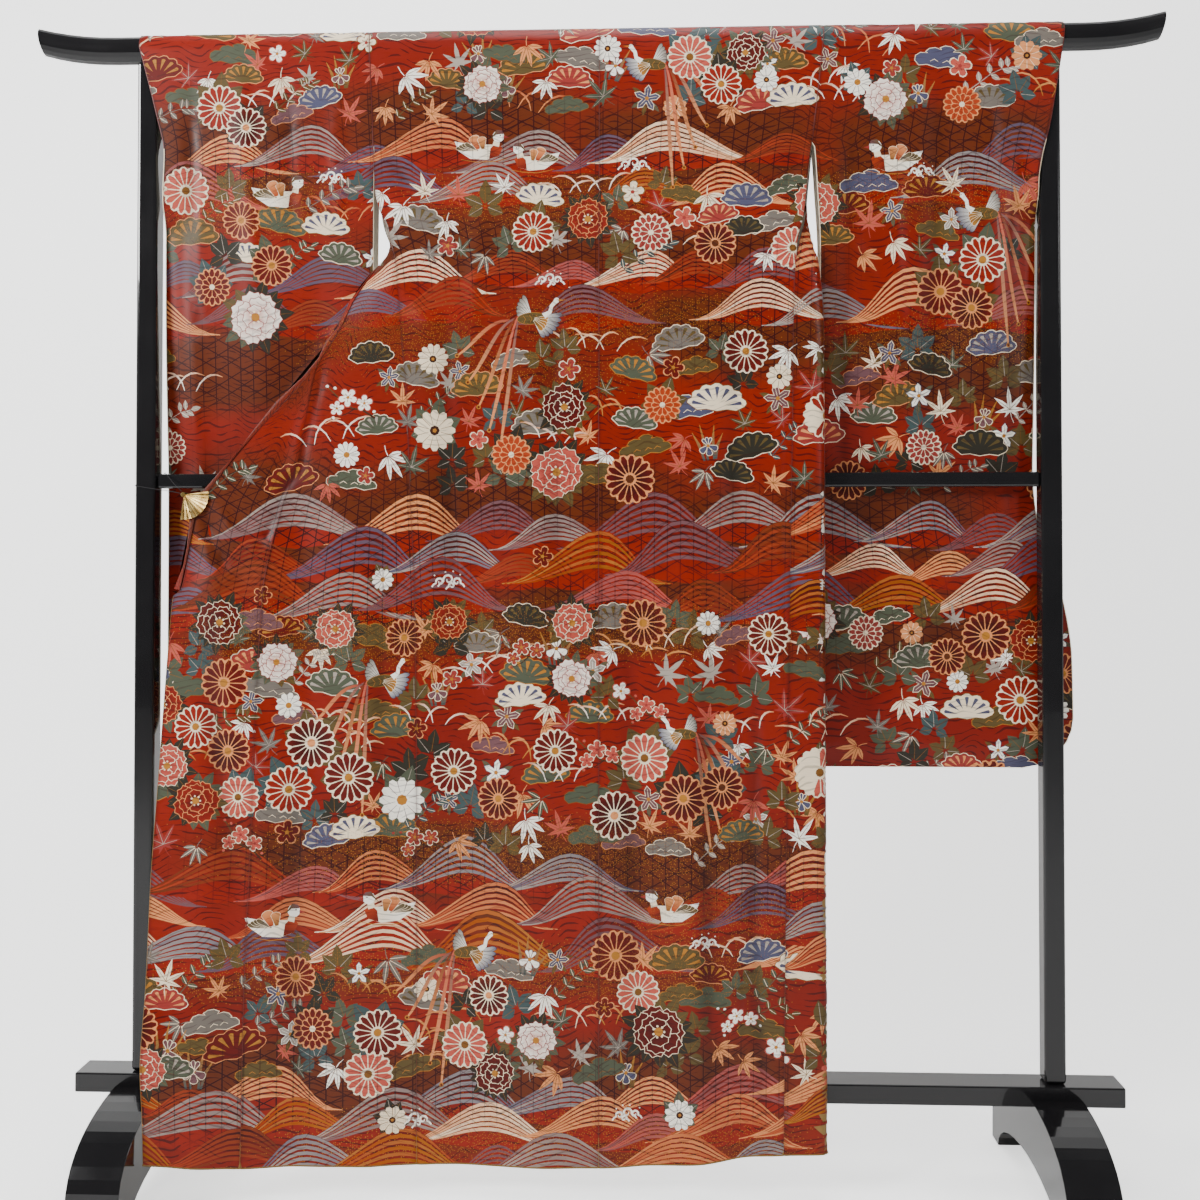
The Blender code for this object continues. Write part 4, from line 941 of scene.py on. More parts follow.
def plumSpray(pen, rng):
    flip = rng.choice((-1, 1))
    branch = pen.at(0, 0, 1.0, 0, flip)
    branch.stroke([(-1.0, -0.55), (-0.5, -0.25), (-0.1, -0.2), (0.4, 0.15), (0.9, 0.6)],
                  (0.003, 0.0022, 0.0012), "brown", "olive")
    branch.stroke([(-0.2, -0.2), (0.15, -0.45), (0.55, -0.55)], (0.0018, 0.0008), "brown")
    tone = choose(rng, "white pink gold, pink cream rose, rose cream gold")
    for x, z, size in ((-0.55, 0.02, 0.34), (0.1, 0.22, 0.38), (0.5, -0.22, 0.3)):
        blossom(branch.at(x, z, size, rng.uniform(0, 72)), rng, tone)
    for x, z in ((0.92, 0.62), (0.62, 0.56), (0.62, -0.6), (-0.95, -0.3)):
        bud(branch.at(x, z, 0.13, rng.uniform(-60, 60)), tone[0], "olive")


def bellflower(pen, rng):
    tone, line = choose(rng, "white blueGrey, blueGrey cream, mauve cream, paleGrey white")
    for turn in (-140, -95, -40, 30, 150):
        pen.leaf(turn, 0.35, 1.15, 0.15, rng.choice("olive greyGreen".split()), "oldGold")
    points = []
    for n in range(5):
        points += [polar(0.3, 54 + 72 * n), polar(0.62, 70 + 72 * n), polar(0.86, 90 + 72 * n),
                   polar(0.62, 110 + 72 * n)]
    pen.lined(points, tone, line, width=0.0008)
    for n in range(5):
        pen.stroke([(0, 0), polar(0.62, 90 + 72 * n)], (0.0007, 0.0004), line)
    pen.dot(0, 0, 0.13, "gold", 7)


def iris(pen, rng):
    leaf = rng.choice("greyGreen olive teal".split())
    for foot, tipX, tipZ in ((-0.35, -0.75, 0.9), (-0.15, -0.25, 1.25), (0.2, 0.55, 1.1), (0.3, 0.95, 0.55)):
        pen.stroke([(foot, -0.8), (blend(foot, tipX, 0.35), blend(-0.8, tipZ, 0.55)), (tipX, tipZ)],
                   (0.003, 0.0042, 0.0006), leaf, "gold")
    tone, line = choose(rng, "white mauve, mauve cream, blueGrey cream")
    for turn in (-150, -90, -30):
        pen.petal(turn, 0.02, 0.58, 0.2, tone, line)
    for turn in (60, 90, 120):
        pen.petal(turn, 0.02, 0.5, 0.11, tone, line)
    pen.dot(0, 0, 0.1, "gold", 7)


def ovalSpray(pen, rng):
    tone = rng.choice("greyGreen grey olive paleGrey teal".split())
    stem = [(-0.9, -0.6), (-0.4, -0.2), (0.0, 0.15), (0.45, 0.4), (0.95, 0.5)]
    pen.stroke(stem, (0.0014, 0.0008), tone)
    for n, (x, z) in enumerate(stem[:-1] + [(0.7, 0.47)]):
        for side in (-1, 1):
            leafPen = pen.at(x, z, 0.5, 38 + 62 * side + rng.uniform(-8, 8))
            leafPen.leaf(0, 0.05, 0.92, 0.24, tone, "cream")
    pen.at(0.95, 0.5, 0.5, 15).leaf(0, 0.0, 0.9, 0.24, tone, "cream")


def feather(pen, turn, start, end, half, tone, tip, line="night"):
    pen.petal(turn, start, end, half, tone, line, tip, 0.8, 0.0005)


def crane(pen, rng):
    # a bird in flight with a long ribbon tail
    ribbons = ("rose", "mauve", "scarlet", "pink", "mauve")
    for n, tone in enumerate(ribbons):
        drop = 0.75 * n
        line = [(-0.7 - (3.6 - 0.5 * n) * t,
                 -0.1 + 0.45 * math.sin(4.4 * t + 0.5 * n) - (1.2 + drop) * t - drop * t * t)
                for t in np.linspace(0, 1, 12)]
        pen.stroke(line, (0.0016, 0.0044, 0.0056, 0.0024), tone, "peach")
        pen.dot(*line[-1], 0.13, "gold", 8)
        pen.dot(*line[-1], 0.07, "scarlet", 6)
    # the far wing, the body, then the near wing
    for n in range(6):
        feather(pen, 108 + 10 * n, 0.2, 1.42 - 0.1 * n, 0.14, "white", "grey")
    body = [polar(1, a) for a in range(0, 360, 24)]
    pen.lined([(-0.05 + 0.82 * x, 0.02 + 0.34 * z) for x, z in body], "olive", "gold", width=0.0006)
    for n in range(3):
        pen.stroke([(-0.5 + 0.35 * n, -0.2), (-0.38 + 0.35 * n, 0.0), (-0.5 + 0.35 * n, 0.2)],
                   (0.0006, 0.0006), "gold")
    for n in range(7):
        feather(pen, 4 - 11 * n, 0.32, 1.66 - 0.07 * n, 0.15, "white", "blueGrey")
    for n in range(5):
        feather(pen, -2 - 13 * n, 0.12, 0.86, 0.14, "olive", "gold", "cream")
    pen.stroke([(0.62, 0.1), (0.98, 0.3), (1.08, 0.62), (1.32, 0.86)], (0.0085, 0.0055, 0.005, 0.006),
               "white")
    pen.dot(1.38, 0.92, 0.15, "white", 10)
    pen.fill([(1.48, 0.98), (1.86, 0.9), (1.48, 0.86)], "gold")
    pen.dot(1.42, 0.95, 0.03, "night", 5)
    for turn in (105, 128, 150):
        pen.at(1.3, 1.02).leaf(turn, 0, 0.36, 0.05, "scarlet")


def duck(pen, rng):
    pen.fill([(-1.0, 0.0), (-0.5, -0.34), (0.2, -0.4), (0.72, -0.22), (0.86, 0.1), (0.5, 0.26), (-0.2, 0.26),
              (-0.75, 0.34), (-1.18, 0.42)], "white", "cream")
    pen.fill([(0.3, -0.36), (0.72, -0.22), (0.88, 0.12), (0.62, 0.36), (0.36, 0.1)], "scarlet", "orange")
    for n in range(4):
        feather(pen.at(-0.15, 0.0), 172 - 7 * n, 0.0, 0.98 - 0.1 * n, 0.1, "grey", "olive", "cream")
    feather(pen.at(-0.15, 0.05), 112, 0.0, 0.66, 0.24, "orange", "peach", "cream")
    feather(pen.at(0.05, 0.05), 98, 0.0, 0.56, 0.2, "oldGold", "peach", "cream")
    pen.stroke([(0.58, 0.2), (0.66, 0.5)], (0.01, 0.008), "cream")
    pen.dot(0.7, 0.62, 0.25, "white", 11)
    pen.fill([(0.46, 0.66), (0.62, 0.9), (0.86, 0.86), (0.92, 0.72), (0.6, 0.7), (0.3, 0.46)], "olive",
             "mauve")
    pen.fill([(0.92, 0.66), (1.16, 0.58), (0.92, 0.52)], "rose")
    pen.dot(0.78, 0.66, 0.035, "night", 5)
    pen.stroke([(-0.9, -0.36), (-0.2, -0.5), (0.5, -0.46), (1.1, -0.34)], (0.0006, 0.0012, 0.0006), "gold")


def curl(pen, rng):
    # white wave tips
    for x, z, size, flip in ((-0.55, 0.05, 0.55, 1), (0.0, 0.18, 0.72, 1), (0.52, 0.05, 0.55, -1),
                             (0.2, -0.2, 0.4, 1)):
        hook = pen.at(x, z, size, 0, flip)
        line = [polar(0.5 - 0.36 * t, 200 - 400 * t) for t in np.linspace(0, 1, 12)]
        hook.stroke([(-0.95, -0.62), (-0.72, -0.3)] + line, (0.0022, 0.003, 0.0026, 0.001), "white")
    for x, z in ((-0.9, 0.45), (0.3, 0.72), (0.75, 0.5), (-0.2, 0.68)):
        pen.dot(x, z, 0.055, "white", 6)


def hill(pen, rng):
    # a bell-shaped crest with thin stripes that close up towards its feet; size is its half width
    rise, lean = rng.uniform(0.46, 0.64), rng.uniform(-0.34, 0.34)
    tones = choose(rng, "peach orange, mauve paleGrey, peach peach, mauve mauve, blueGrey paleGrey, orange "
                        "gold, blueGrey mauve, cream peach, pink mauve, orange brownGold")
    fill = rng.choice("scarlet deepRed brownGold scarlet vermilion".split())
    steps = np.linspace(-1, 1, 17)
    bell = 0.5 + 0.5 * np.cos(math.pi * steps)

    def crest(k):
        return np.stack([(steps + lean * bell * 0.5) * (1 - 0.03 * k), rise * bell ** 1.1 * (1 - 0.125 * k)],
                        axis=1)

    pen.fill(np.concatenate([crest(0), [(0.6, -0.02), (0, -0.1), (-0.6, -0.02)]]), fill, "vermilion",
             ((0, rise), (0, 0)), gold=-1.5)
    for k in range(6):
        middle, thick = crest(k + 0.4), 0.04 * (0.26 + 0.74 * bell)
        half = np.stack([steps * 0, thick / 2], axis=1)
        first, last = (tones if rng.random() < 0.5 else tones[::-1])
        pen.fill(np.concatenate([middle + half, (middle - half)[::-1]]), first, last, ((-0.9, 0), (0.9, 0)),
                 gold=1.0 if "gold" in tones and k % 2 else 0.0)


# where the motifs go: bands of flowers between bands of striped hills
layout = {
    "left": -0.7, "right": 0.72,
    "hillRows": ((1.47, 0.12), (1.415, 0.13), (1.29, 0.12), (1.24, 0.13), (0.925, 0.13), (0.872, 0.12),
                 (0.818, 0.13), (0.424, 0.13), (0.375, 0.125), (0.325, 0.13), (0.125, 0.12), (0.08, 0.13),
                 (0.038, 0.12)),
    "flowerBands": ((1.545, 1.72, 1.0), (1.335, 1.44, 1.0), (1.005, 1.205, 0.95), (0.49, 0.815, 1.3),
                    (0.175, 0.345, 1.2)),
    "bandShares": (0.2, 0.13, 0.2, 0.3, 0.17),
    "hillChance": 0.86, "hillSizes": (0.7, 1.1), "hillSteps": (0.85, 1.35), "hillShift": 0.012,
    "flowerTries": (1100, 280), "leafTries": (4600, 480), "turn": 16, "leafTurn": 3.5,
    "flowerApart": 0.95, "leafOverFlower": 0.12, "leafApart": 0.5, "craneRoom": 1.7, "underLeaves": 1.45,
}
# each kind with its smallest and largest size and its share
backKinds = ((pineFan, 0.028, 0.038, 12), (cloud, 0.03, 0.042, 14), (leafCluster, 0.026, 0.036, 18),
             (maple, 0.022, 0.031, 14), (bamboo, 0.026, 0.036, 12), (grass, 0.034, 0.048, 12),
             (ovalSpray, 0.026, 0.036, 7), (bellflower, 0.018, 0.024, 4), (iris, 0.024, 0.032, 3))
frontKinds = ((chrysanthemum, 0.027, 0.036, 9), (doubleChrysanthemum, 0.025, 0.03, 2),
              (daisy, 0.016, 0.023, 3),
              (peony, 0.027, 0.034, 5), (blossom, 0.013, 0.018, 3), (plumSpray, 0.03, 0.04, 3),
              (maple, 0.024, 0.034, 10), (bamboo, 0.028, 0.038, 8), (pineFan, 0.03, 0.04, 14))
nearAnchors = (
    (crane, 0.085, 1.615, 0.024, -8, -1), (crane, -0.085, 1.245, 0.026, 4, 1),
    (crane, -0.3, 0.728, 0.025, 10, 1),
    (crane, -0.175, 0.345, 0.025, 6, 1), (crane, 0.56, 1.395, 0.025, -6, -1),
    (crane, 0.13, 0.655, 0.022, -4, -1),
    (duck, -0.455, 1.428, 0.036, 0, 1), (duck, -0.16, 1.492, 0.034, 0, 1),
    (duck, -0.085, 1.475, 0.032, 0, -1),
    (duck, 0.43, 1.47, 0.036, 0, -1), (duck, -0.445, 0.382, 0.036, 0, 1), (duck, -0.29, 0.402, 0.034, 0, -1),
    (duck, 0.11, 0.404, 0.036, 0, -1), (curl, 0.06, 1.468, 0.022, 0, 1), (curl, -0.38, 1.455, 0.02, 0, 1),
    (curl, -0.06, 1.3, 0.02, 0, 1), (curl, -0.205, 0.868, 0.022, 0, 1), (curl, 0.16, 0.36, 0.02, 0, 1),
    (curl, -0.25, 0.11, 0.022, 0, 1), (curl, 0.05, 0.12, 0.02, 0, -1), (curl, 0.47, 1.455, 0.018, 0, -1),
    (chrysanthemum, -0.545, 1.56, 0.034, 0, 1), (chrysanthemum, -0.505, 1.53, 0.03, 9, 1),
    (chrysanthemum, 0.14, 1.625, 0.033, 0, 1), (chrysanthemum, 0.185, 1.585, 0.03, 12, 1),
    (chrysanthemum, 0.56, 1.33, 0.034, 0, 1), (chrysanthemum, 0.5, 1.285, 0.034, 7, 1),
    (chrysanthemum, 0.545, 1.262, 0.031, 3, 1), (peony, -0.495, 1.255, 0.04, 0, 1),
    (chrysanthemum, -0.47, 1.33, 0.03, 5, 1), (doubleChrysanthemum, -0.56, 1.3, 0.028, 0, 1),
    (chrysanthemum, -0.085, 1.372, 0.031, 0, 1), (peony, -0.05, 1.025, 0.038, 0, 1),
    (daisy, -0.225, 1.085, 0.03, 0, 1), (doubleChrysanthemum, -0.115, 1.05, 0.029, 0, 1),
    (doubleChrysanthemum, 0.1, 1.12, 0.027, 0, 1), (peony, -0.16, 1.59, 0.03, 0, 1),
    (chrysanthemum, -0.4, 0.64, 0.036, 0, 1), (chrysanthemum, -0.345, 0.592, 0.036, 8, 1),
    (chrysanthemum, -0.43, 0.575, 0.034, 3, 1), (daisy, -0.27, 0.56, 0.032, 0, 1),
    (chrysanthemum, -0.5, 0.565, 0.03, 0, 1), (chrysanthemum, 0.075, 0.62, 0.035, 0, 1),
    (chrysanthemum, 0.13, 0.565, 0.034, 6, 1), (chrysanthemum, 0.185, 0.58, 0.031, 0, 1),
    (peony, -0.56, 0.56, 0.032, 0, 1), (chrysanthemum, -0.3, 0.235, 0.033, 0, 1),
    (chrysanthemum, -0.18, 0.215, 0.033, 9, 1), (doubleChrysanthemum, -0.39, 0.24, 0.03, 0, 1),
    (peony, 0.095, 0.235, 0.04, 0, 1), (daisy, -0.28, 0.112, 0.02, 0, 1), (daisy, 0.125, 0.118, 0.022, 0, 1),
    (blossom, -0.07, 0.905, 0.015, 0, 1), (blossom, -0.47, 0.85, 0.013, 0, 1),
    (daisy, -0.3, 0.872, 0.016, 0, 1),
    (peony, 0.42, 1.56, 0.032, 0, 1), (daisy, 0.38, 1.585, 0.02, 0, 1), (daisy, 0.62, 1.62, 0.022, 0, 1),
)


def plainZone(x, z):
    # the overlap strip beside the collar, which is left unprinted
    return -0.62 < x < -0.37 and 1.02 < z < 1.24


def drawHills(picture, rng, mirror):
    for z, half in layout["hillRows"]:
        x = layout["left"] + rng.uniform(0, 0.1)
        while x < layout["right"]:
            size = half * rng.uniform(*layout["hillSizes"])
            if rng.random() < layout["hillChance"] and not plainZone(x * mirror, z):
                hill(Pen(picture, x, z + rng.uniform(-layout["hillShift"], layout["hillShift"]), size), rng)
            x += size * rng.uniform(*layout["hillSteps"])


def roomFor(x, z, others, reachOf):
    return all((x - other[0]) ** 2 + (z - other[1]) ** 2 > reachOf(other[2]) ** 2 for other in others)


def drawPicture(seed, anchors, mirror, tryPlace):
    rng = random.Random(seed)
    picture = Picture()
    drawHills(picture, rng, mirror)
    flowers = [(x, z, size * (layout["craneRoom"] if kind is crane else 1.0), None, 0)
               for kind, x, z, size, turn, flip in anchors]
    behind = []
    for kinds, tries in ((frontKinds, "flowerTries"), (backKinds, "leafTries")):
        for n in range(layout[tries][tryPlace]):
            low, high, dense = rng.choices(layout["flowerBands"], layout["bandShares"])[0]
            x, z = rng.uniform(layout["left"], layout["right"]), rng.uniform(low, high)
            kind, small, large, _ = rng.choices(kinds, [k[3] for k in kinds])[0]
            size, turn = rng.uniform(small, large), rng.uniform(-layout["turn"], layout["turn"])
            if kind in (maple, bamboo):
                turn *= layout["leafTurn"]
            if plainZone(x * mirror, z):
                continue
            if kinds is frontKinds:
                if roomFor(x, z, flowers,
                           lambda other: (size + other) * layout["flowerApart"] / dense ** 0.5):
                    flowers.append((x, z, size, kind, turn))
            elif roomFor(x, z, flowers, lambda other: other + layout["leafOverFlower"] * size) and roomFor(
                    x, z, behind, lambda other: (size + other) * layout["leafApart"] / dense ** 0.5):
                behind.append((x, z, size, kind, turn))
    for x, z, size, kind, turn in behind + flowers:
        if kind:
            kind(Pen(picture, x, z, size, turn), rng)
    for kind, x, z, size, turn, flip in anchors:
        if kind in (chrysanthemum, daisy, doubleChrysanthemum):
            leafCluster(Pen(picture, x, z, size * layout["underLeaves"], turn + rng.uniform(-40, 40)), rng)
    for kind, x, z, size, turn, flip in anchors:
        kind(Pen(picture, x, z, size, turn, flip), rng)
    return picture


nearPicture = drawPicture(11, nearAnchors, 1, 0)
farAnchors = tuple((k, -x, z + 0.01, s, t, -f) for k, x, z, s, t, f in nearAnchors[::2])
farPicture = drawPicture(23, farAnchors, -9, 1)
print("picture drawn:", len(nearPicture.points), "and", len(farPicture.points), "shapes")

# soft patches of the ground: lattice, gold dust and browner dye, as (x, z, half width, half height, strength)
patches = {
    "lattice": ((-0.47, 0.955, 0.1, 0.075, 1.0), (-0.55, 1.5, 0.12, 0.05, 0.9),
                (-0.2, 1.53, 0.14, 0.05, 0.9), (0.15, 1.5, 0.16, 0.05, 0.8),
                (0.5, 1.49, 0.14, 0.05, 0.9), (-0.15, 1.34, 0.15, 0.04, 1.0), (0.18, 1.33, 0.14, 0.035, 0.9),
                (-0.52, 1.18, 0.1, 0.05, 0.9), (0.22, 1.22, 0.1, 0.05, 0.8), (-0.1, 0.99, 0.2, 0.04, 0.8),
                (-0.33, 0.93, 0.12, 0.06, 0.9), (0.15, 0.94, 0.14, 0.05, 0.7), (-0.38, 0.83, 0.14, 0.04, 0.9),
                (0.05, 0.83, 0.16, 0.04, 0.8), (-0.3, 0.47, 0.2, 0.04, 0.8), (0.15, 0.46, 0.16, 0.04, 0.8),
                (-0.48, 0.17, 0.14, 0.05, 1.0), (-0.2, 0.16, 0.14, 0.04, 0.9), (0.12, 0.17, 0.14, 0.045, 0.9),
                (0.4, 0.95, 0.14, 0.05, 0.8), (0.52, 1.18, 0.12, 0.05, 0.9), (0.45, 0.8, 0.14, 0.05, 0.7)),
    "dust": ((-0.5, 1.42, 0.1, 0.035, 0.9), (-0.05, 1.42, 0.16, 0.03, 0.8), (0.45, 1.42, 0.13, 0.03, 0.9),
             (0.05, 1.24, 0.14, 0.03, 0.8), (-0.38, 0.79, 0.16, 0.035, 1.0), (0.0, 0.8, 0.2, 0.03, 0.9),
             (-0.1, 0.49, 0.26, 0.035, 1.0), (0.18, 0.4, 0.1, 0.03, 0.8), (-0.35, 0.32, 0.2, 0.03, 0.9),
             (0.05, 0.32, 0.16, 0.03, 0.9), (-0.2, 0.09, 0.18, 0.03, 1.0), (0.12, 0.08, 0.14, 0.03, 0.9),
             (-0.28, 1.22, 0.1, 0.03, 0.8), (-0.1, 1.17, 0.12, 0.025, 0.7), (0.5, 1.22, 0.14, 0.03, 0.8)),
}


patchSpread = 1.25


def patchMask(kind, x, z):
    total = np.zeros_like(x)
    for cx, cz, rx, rz, strength in patches[kind]:
        off = ((x - cx) / rx / patchSpread) ** 4 + ((z - cz) / rz / patchSpread) ** 4
        total = np.maximum(total, strength * np.exp(-off))
    return np.clip(total * patchSpread, 0, 1)


# making a shell
def gridNormals(grid, outward):
    down, across = np.empty_like(grid), np.empty_like(grid)
    down[1:-1], down[0], down[-1] = grid[2:] - grid[:-2], grid[1] - grid[0], grid[-1] - grid[-2]
    across[:, 1:-1] = grid[:, 2:] - grid[:, :-2]
    across[:, 0], across[:, -1] = grid[:, 1] - grid[:, 0], grid[:, -1] - grid[:, -2]
    return unit(np.cross(across, down) * outward)


def readGrid(grid, row, column):
    high, wide = grid.shape[:2]
    i = np.clip(np.floor(row).astype(int), 0, high - 2)
    j = np.clip(np.floor(column).astype(int), 0, wide - 2)
    s, t = (row - i)[:, None], (column - j)[:, None]
    return ((grid[i, j] * (1 - t) + grid[i, j + 1] * t) * (1 - s)
            + (grid[i + 1, j] * (1 - t) + grid[i + 1, j + 1] * t) * s)


class Piece:
    # one cut length of silk: its grid of middle points and where its faces lie in the pictures
    def __init__(self, grid, outward, faces, wall):
        self.grid, self.outward, self.faces, self.wall = grid, outward, faces, wall
        self.creased = True
        steps = np.linalg.norm(np.diff(grid, axis=1), axis=2)
        self.widths = steps.sum(axis=1)
        self.width = float(np.float32(self.widths.mean()))
        arcs = np.concatenate([np.zeros((len(grid), 1)), np.cumsum(steps, axis=1)], axis=1)
        self.shares = (arcs / arcs[:, -1:]).mean(axis=0)
        self.shares[0], self.shares[-1] = 0.0, 1.0
        rowSteps = np.linalg.norm(np.diff(grid, axis=0), axis=2).mean(axis=1)
        self.along = np.concatenate([[0.0], np.cumsum(rowSteps)])
        self.length = float(np.float32(self.along[-1]))
        self.along[-1] = self.length
        self.normals = gridNormals(grid, outward)

    def skin(self, flatPoints, side):
        # flat places to points on the outer (1) or inner (-1) skin, with normals and middle points
        row = np.interp(flatPoints[:, 1], self.along, np.arange(len(self.along)))
        column = np.interp(flatPoints[:, 0], self.shares * self.width, np.arange(len(self.shares)))
        middle, normal = readGrid(self.grid, row, column), unit(readGrid(self.normals, row, column))
        if not self.creased:
            return middle + normal * (side * self.wall / 2), normal * side, middle, middle[:, 0] * 0
        lift = creaseDepth(middle, normal)
        slope = np.zeros_like(middle)
        for axis in (0, 2):
            beside = middle.copy()
            beside[:, axis] += creaseShape["slopeStep"]
            slope[:, axis] = (creaseDepth(beside, normal) - lift) / creaseShape["slopeStep"]
        slope -= (slope * normal).sum(axis=1, keepdims=True) * normal
        bent = unit(normal - slope)
        if side > 0:
            moved = lift - seam["depth"] * seamShare(self, flatPoints[:, 0])
        else:
            # the lining's wider steps keep clear of the silk's narrow troughs
            moved = lift
            for reach in (-seam["clear"], seam["clear"]):
                beside = middle + np.array([reach, 0.0, 0.0])
                moved = np.minimum(moved, creaseDepth(beside, normal))
            moved = np.minimum(moved, 0.5 * lift) - seam["under"] * (moved < -seam["under"])
        return middle + normal * (side * self.wall / 2 + moved[:, None]), bent * side, middle, lift

    def toFlat(self, face, points):
        # picture x and z to flat place: across in shares of the width, along in metres
        t, rows = np.array(face["t"]), np.array(face["rows"])
        order, upward = np.argsort(t), np.argsort(rows)
        row = np.interp(points[:, 1], t[order], rows[order])
        below, above = points[:, 1] < t.min(), points[:, 1] > t.max()
        pace = np.sign(rows[order][-1] - rows[order][0])
        along = np.interp(row, np.arange(len(self.along)), self.along)
        along = along - pace * np.where(below, t.min() - points[:, 1], 0) + pace * np.where(
            above, points[:, 1] - t.max(), 0)
        edge, start = (np.interp(row, rows[upward],
                                 np.array(face[key])[upward]) for key in ("edgeX", "start"))
        width = np.interp(row, np.arange(len(self.widths)), self.widths)
        share = (start + face["way"] * (points[:, 0] - edge)) / np.maximum(width, 0.02)
        return np.stack([np.clip(share, -1.5, 2.5) * self.width, along], axis=1)


def seamless(grid, first, last):
    # the two long edges reach out so that no light shows through the seams
    grid = grid.copy()
    for end, beside, reach in ((0, 1, first), (-1, -2, last)):
        way = grid[:, end] - grid[:, beside]
        grid[:, end] += unit(way) * reach
    return grid


def leftHanded(points):
    x, z = points[:, 0], points[:, 1]
    return (x * np.roll(z, -1) - z * np.roll(x, -1)).sum() > 0


# how the flat is cut: squares of so many steps, and how near points count as one
tiles = {"columns": 5, "rows": 6, "onCut": 2e-6, "same": 3e-6, "finest": 1e-6, "batch": 20000}


def threeCorners(nets):
    return (nets[:, 0] != nets[:, 1]) & (nets[:, 1] != nets[:, 2]) & (nets[:, 0] != nets[:, 2])


def topShapes(centres, pairs, polygons):
    # the last drawn shape that holds the middle of each triangle
    tops = np.full(len(centres), -1)
    if not pairs:
        return tops
    pairs = np.array(pairs)
    longest = max(len(p) for p in polygons)
    padded = np.array([np.concatenate([p, np.repeat(p[-1:], longest - len(p), axis=0)]) for p in polygons])
    for start in range(0, len(pairs), tiles["batch"]):
        some = pairs[start:start + tiles["batch"]]
        shape, centre = padded[some[:, 1]], centres[some[:, 0]][:, None, :]
        x0, z0 = shape[..., 0] - centre[..., 0], shape[..., 1] - centre[..., 1]
        x1, z1 = np.roll(x0, -1, 1), np.roll(z0, -1, 1)
        turn = x0 * z1 - x1 * z0
        up, down = (z0 <= 0) & (z1 > 0) & (turn > 0), (z0 > 0) & (z1 <= 0) & (turn < 0)
        inside = (up.sum(axis=1) - down.sum(axis=1)) != 0
        np.maximum.at(tops, some[inside, 0], some[inside, 1])
    return tops


def triangulate(piece, polygons, extra, rowStep=2):
    # the flat rectangle is cut in small squares, each one net of triangles, then joined again
    columns, rows = piece.shares * piece.width, piece.along
    xCuts = sorted({0, len(columns) - 1, *range(0, len(columns) - 2, tiles["columns"])})
    yCuts = sorted({0, len(rows) - 1, *range(0, len(rows) - 2, tiles["rows"])})
    polygons = [p if leftHanded(p) else p[::-1] for p in polygons]
    lows = np.array([p.min(axis=0) for p in polygons]).reshape(-1, 2)
    highs = np.array([p.max(axis=0) for p in polygons]).reshape(-1, 2)
    flats, nets, pairs, total = [], [], [], 0
    for left, right in zip(xCuts, xCuts[1:]):
        for low, high in zip(yCuts, yCuts[1:]):
            x0, x1, y0, y1 = columns[left], columns[right], rows[low], rows[high]
            corner = np.array((x0, y0))
            verts = [Vector(p) for p in ((0, 0), (x1 - x0, 0), (x1 - x0, y1 - y0), (0, y1 - y0))]
            faces, numbers = [[0, 1, 2, 3]], [-1]
            beside = (lows[:, 0] < x1) & (highs[:, 0] > x0)
            inside = np.nonzero(beside & (lows[:, 1] < y1) & (highs[:, 1] > y0))[0]
            for n in inside.tolist():
                base = len(verts)
                verts += [Vector(q) for q in (polygons[n] - corner).tolist()]
                faces.append(list(range(base, len(verts))))
                numbers.append(n)
            heights = np.append(rows[low:high:rowStep], rows[high])
            grid = np.stack(np.meshgrid(columns[left:right + 1], heights), axis=-1).reshape(-1, 2)
            if len(extra):
                grid = np.concatenate([grid, extra[(extra[:, 0] >= x0) & (extra[:, 0] <= x1)
                                                   & (extra[:, 1] >= y0) & (extra[:, 1] <= y1)]])
            verts += [Vector(q) for q in (grid - corner).tolist()]
            flat, _, triangles, _, _, origins = delaunay_2d_cdt(verts, [], faces, 2, tiles["finest"], True)
            for triangle, origin in zip(triangles, origins):
                if 0 in origin:
                    pairs += [(len(nets), numbers[n]) for n in origin if n]
                    nets.append([n + total for n in triangle])
            flats.append(np.array([tuple(q) for q in flat]) + corner)
            total += len(flat)
    flat, nets = np.concatenate(flats), np.array(nets)
    tops = topShapes(flat[nets].mean(axis=1), pairs, polygons)
    parent = list(range(total))

    def root(n):
        while parent[n] != n:
            parent[n] = parent[parent[n]]
            n = parent[n]
        return n

    for axis, cuts in ((0, columns[xCuts]), (1, rows[yCuts])):
        for cut in cuts:
            line = np.nonzero(abs(flat[:, axis] - cut) < tiles["onCut"])[0]
            line = line[np.argsort(flat[line, 1 - axis])]
            close = np.diff(flat[line, 1 - axis]) < tiles["same"]
            for a, b in zip(line[:-1][close].tolist(), line[1:][close].tolist()):
                parent[root(b)] = root(a)
    roots = np.array([root(n) for n in range(total)])
    nets = roots[nets]
    whole = threeCorners(nets)
    nets, tops = nets[whole], tops[whole]
    used = np.unique(nets)
    renumber = np.zeros(total, int)
    renumber[used] = np.arange(len(used))
    return flat[used], renumber[nets], tops + 1


def border(piece, flat):
    # the points on the rectangle's outline, in order round it
    x, y, close = flat[:, 0], flat[:, 1], tiles["same"]
    runs = []
    for test, key, back in ((y < close, x, False), (x > piece.width - close, y, False),
                            (y > piece.length - close, x, True), (x < close, y, True)):
        found = np.nonzero(test)[0]
        found = found[np.argsort(key[found])]
        runs.append(found[::-1] if back else found)
    return np.array(list(dict.fromkeys(np.concatenate(runs).tolist())))


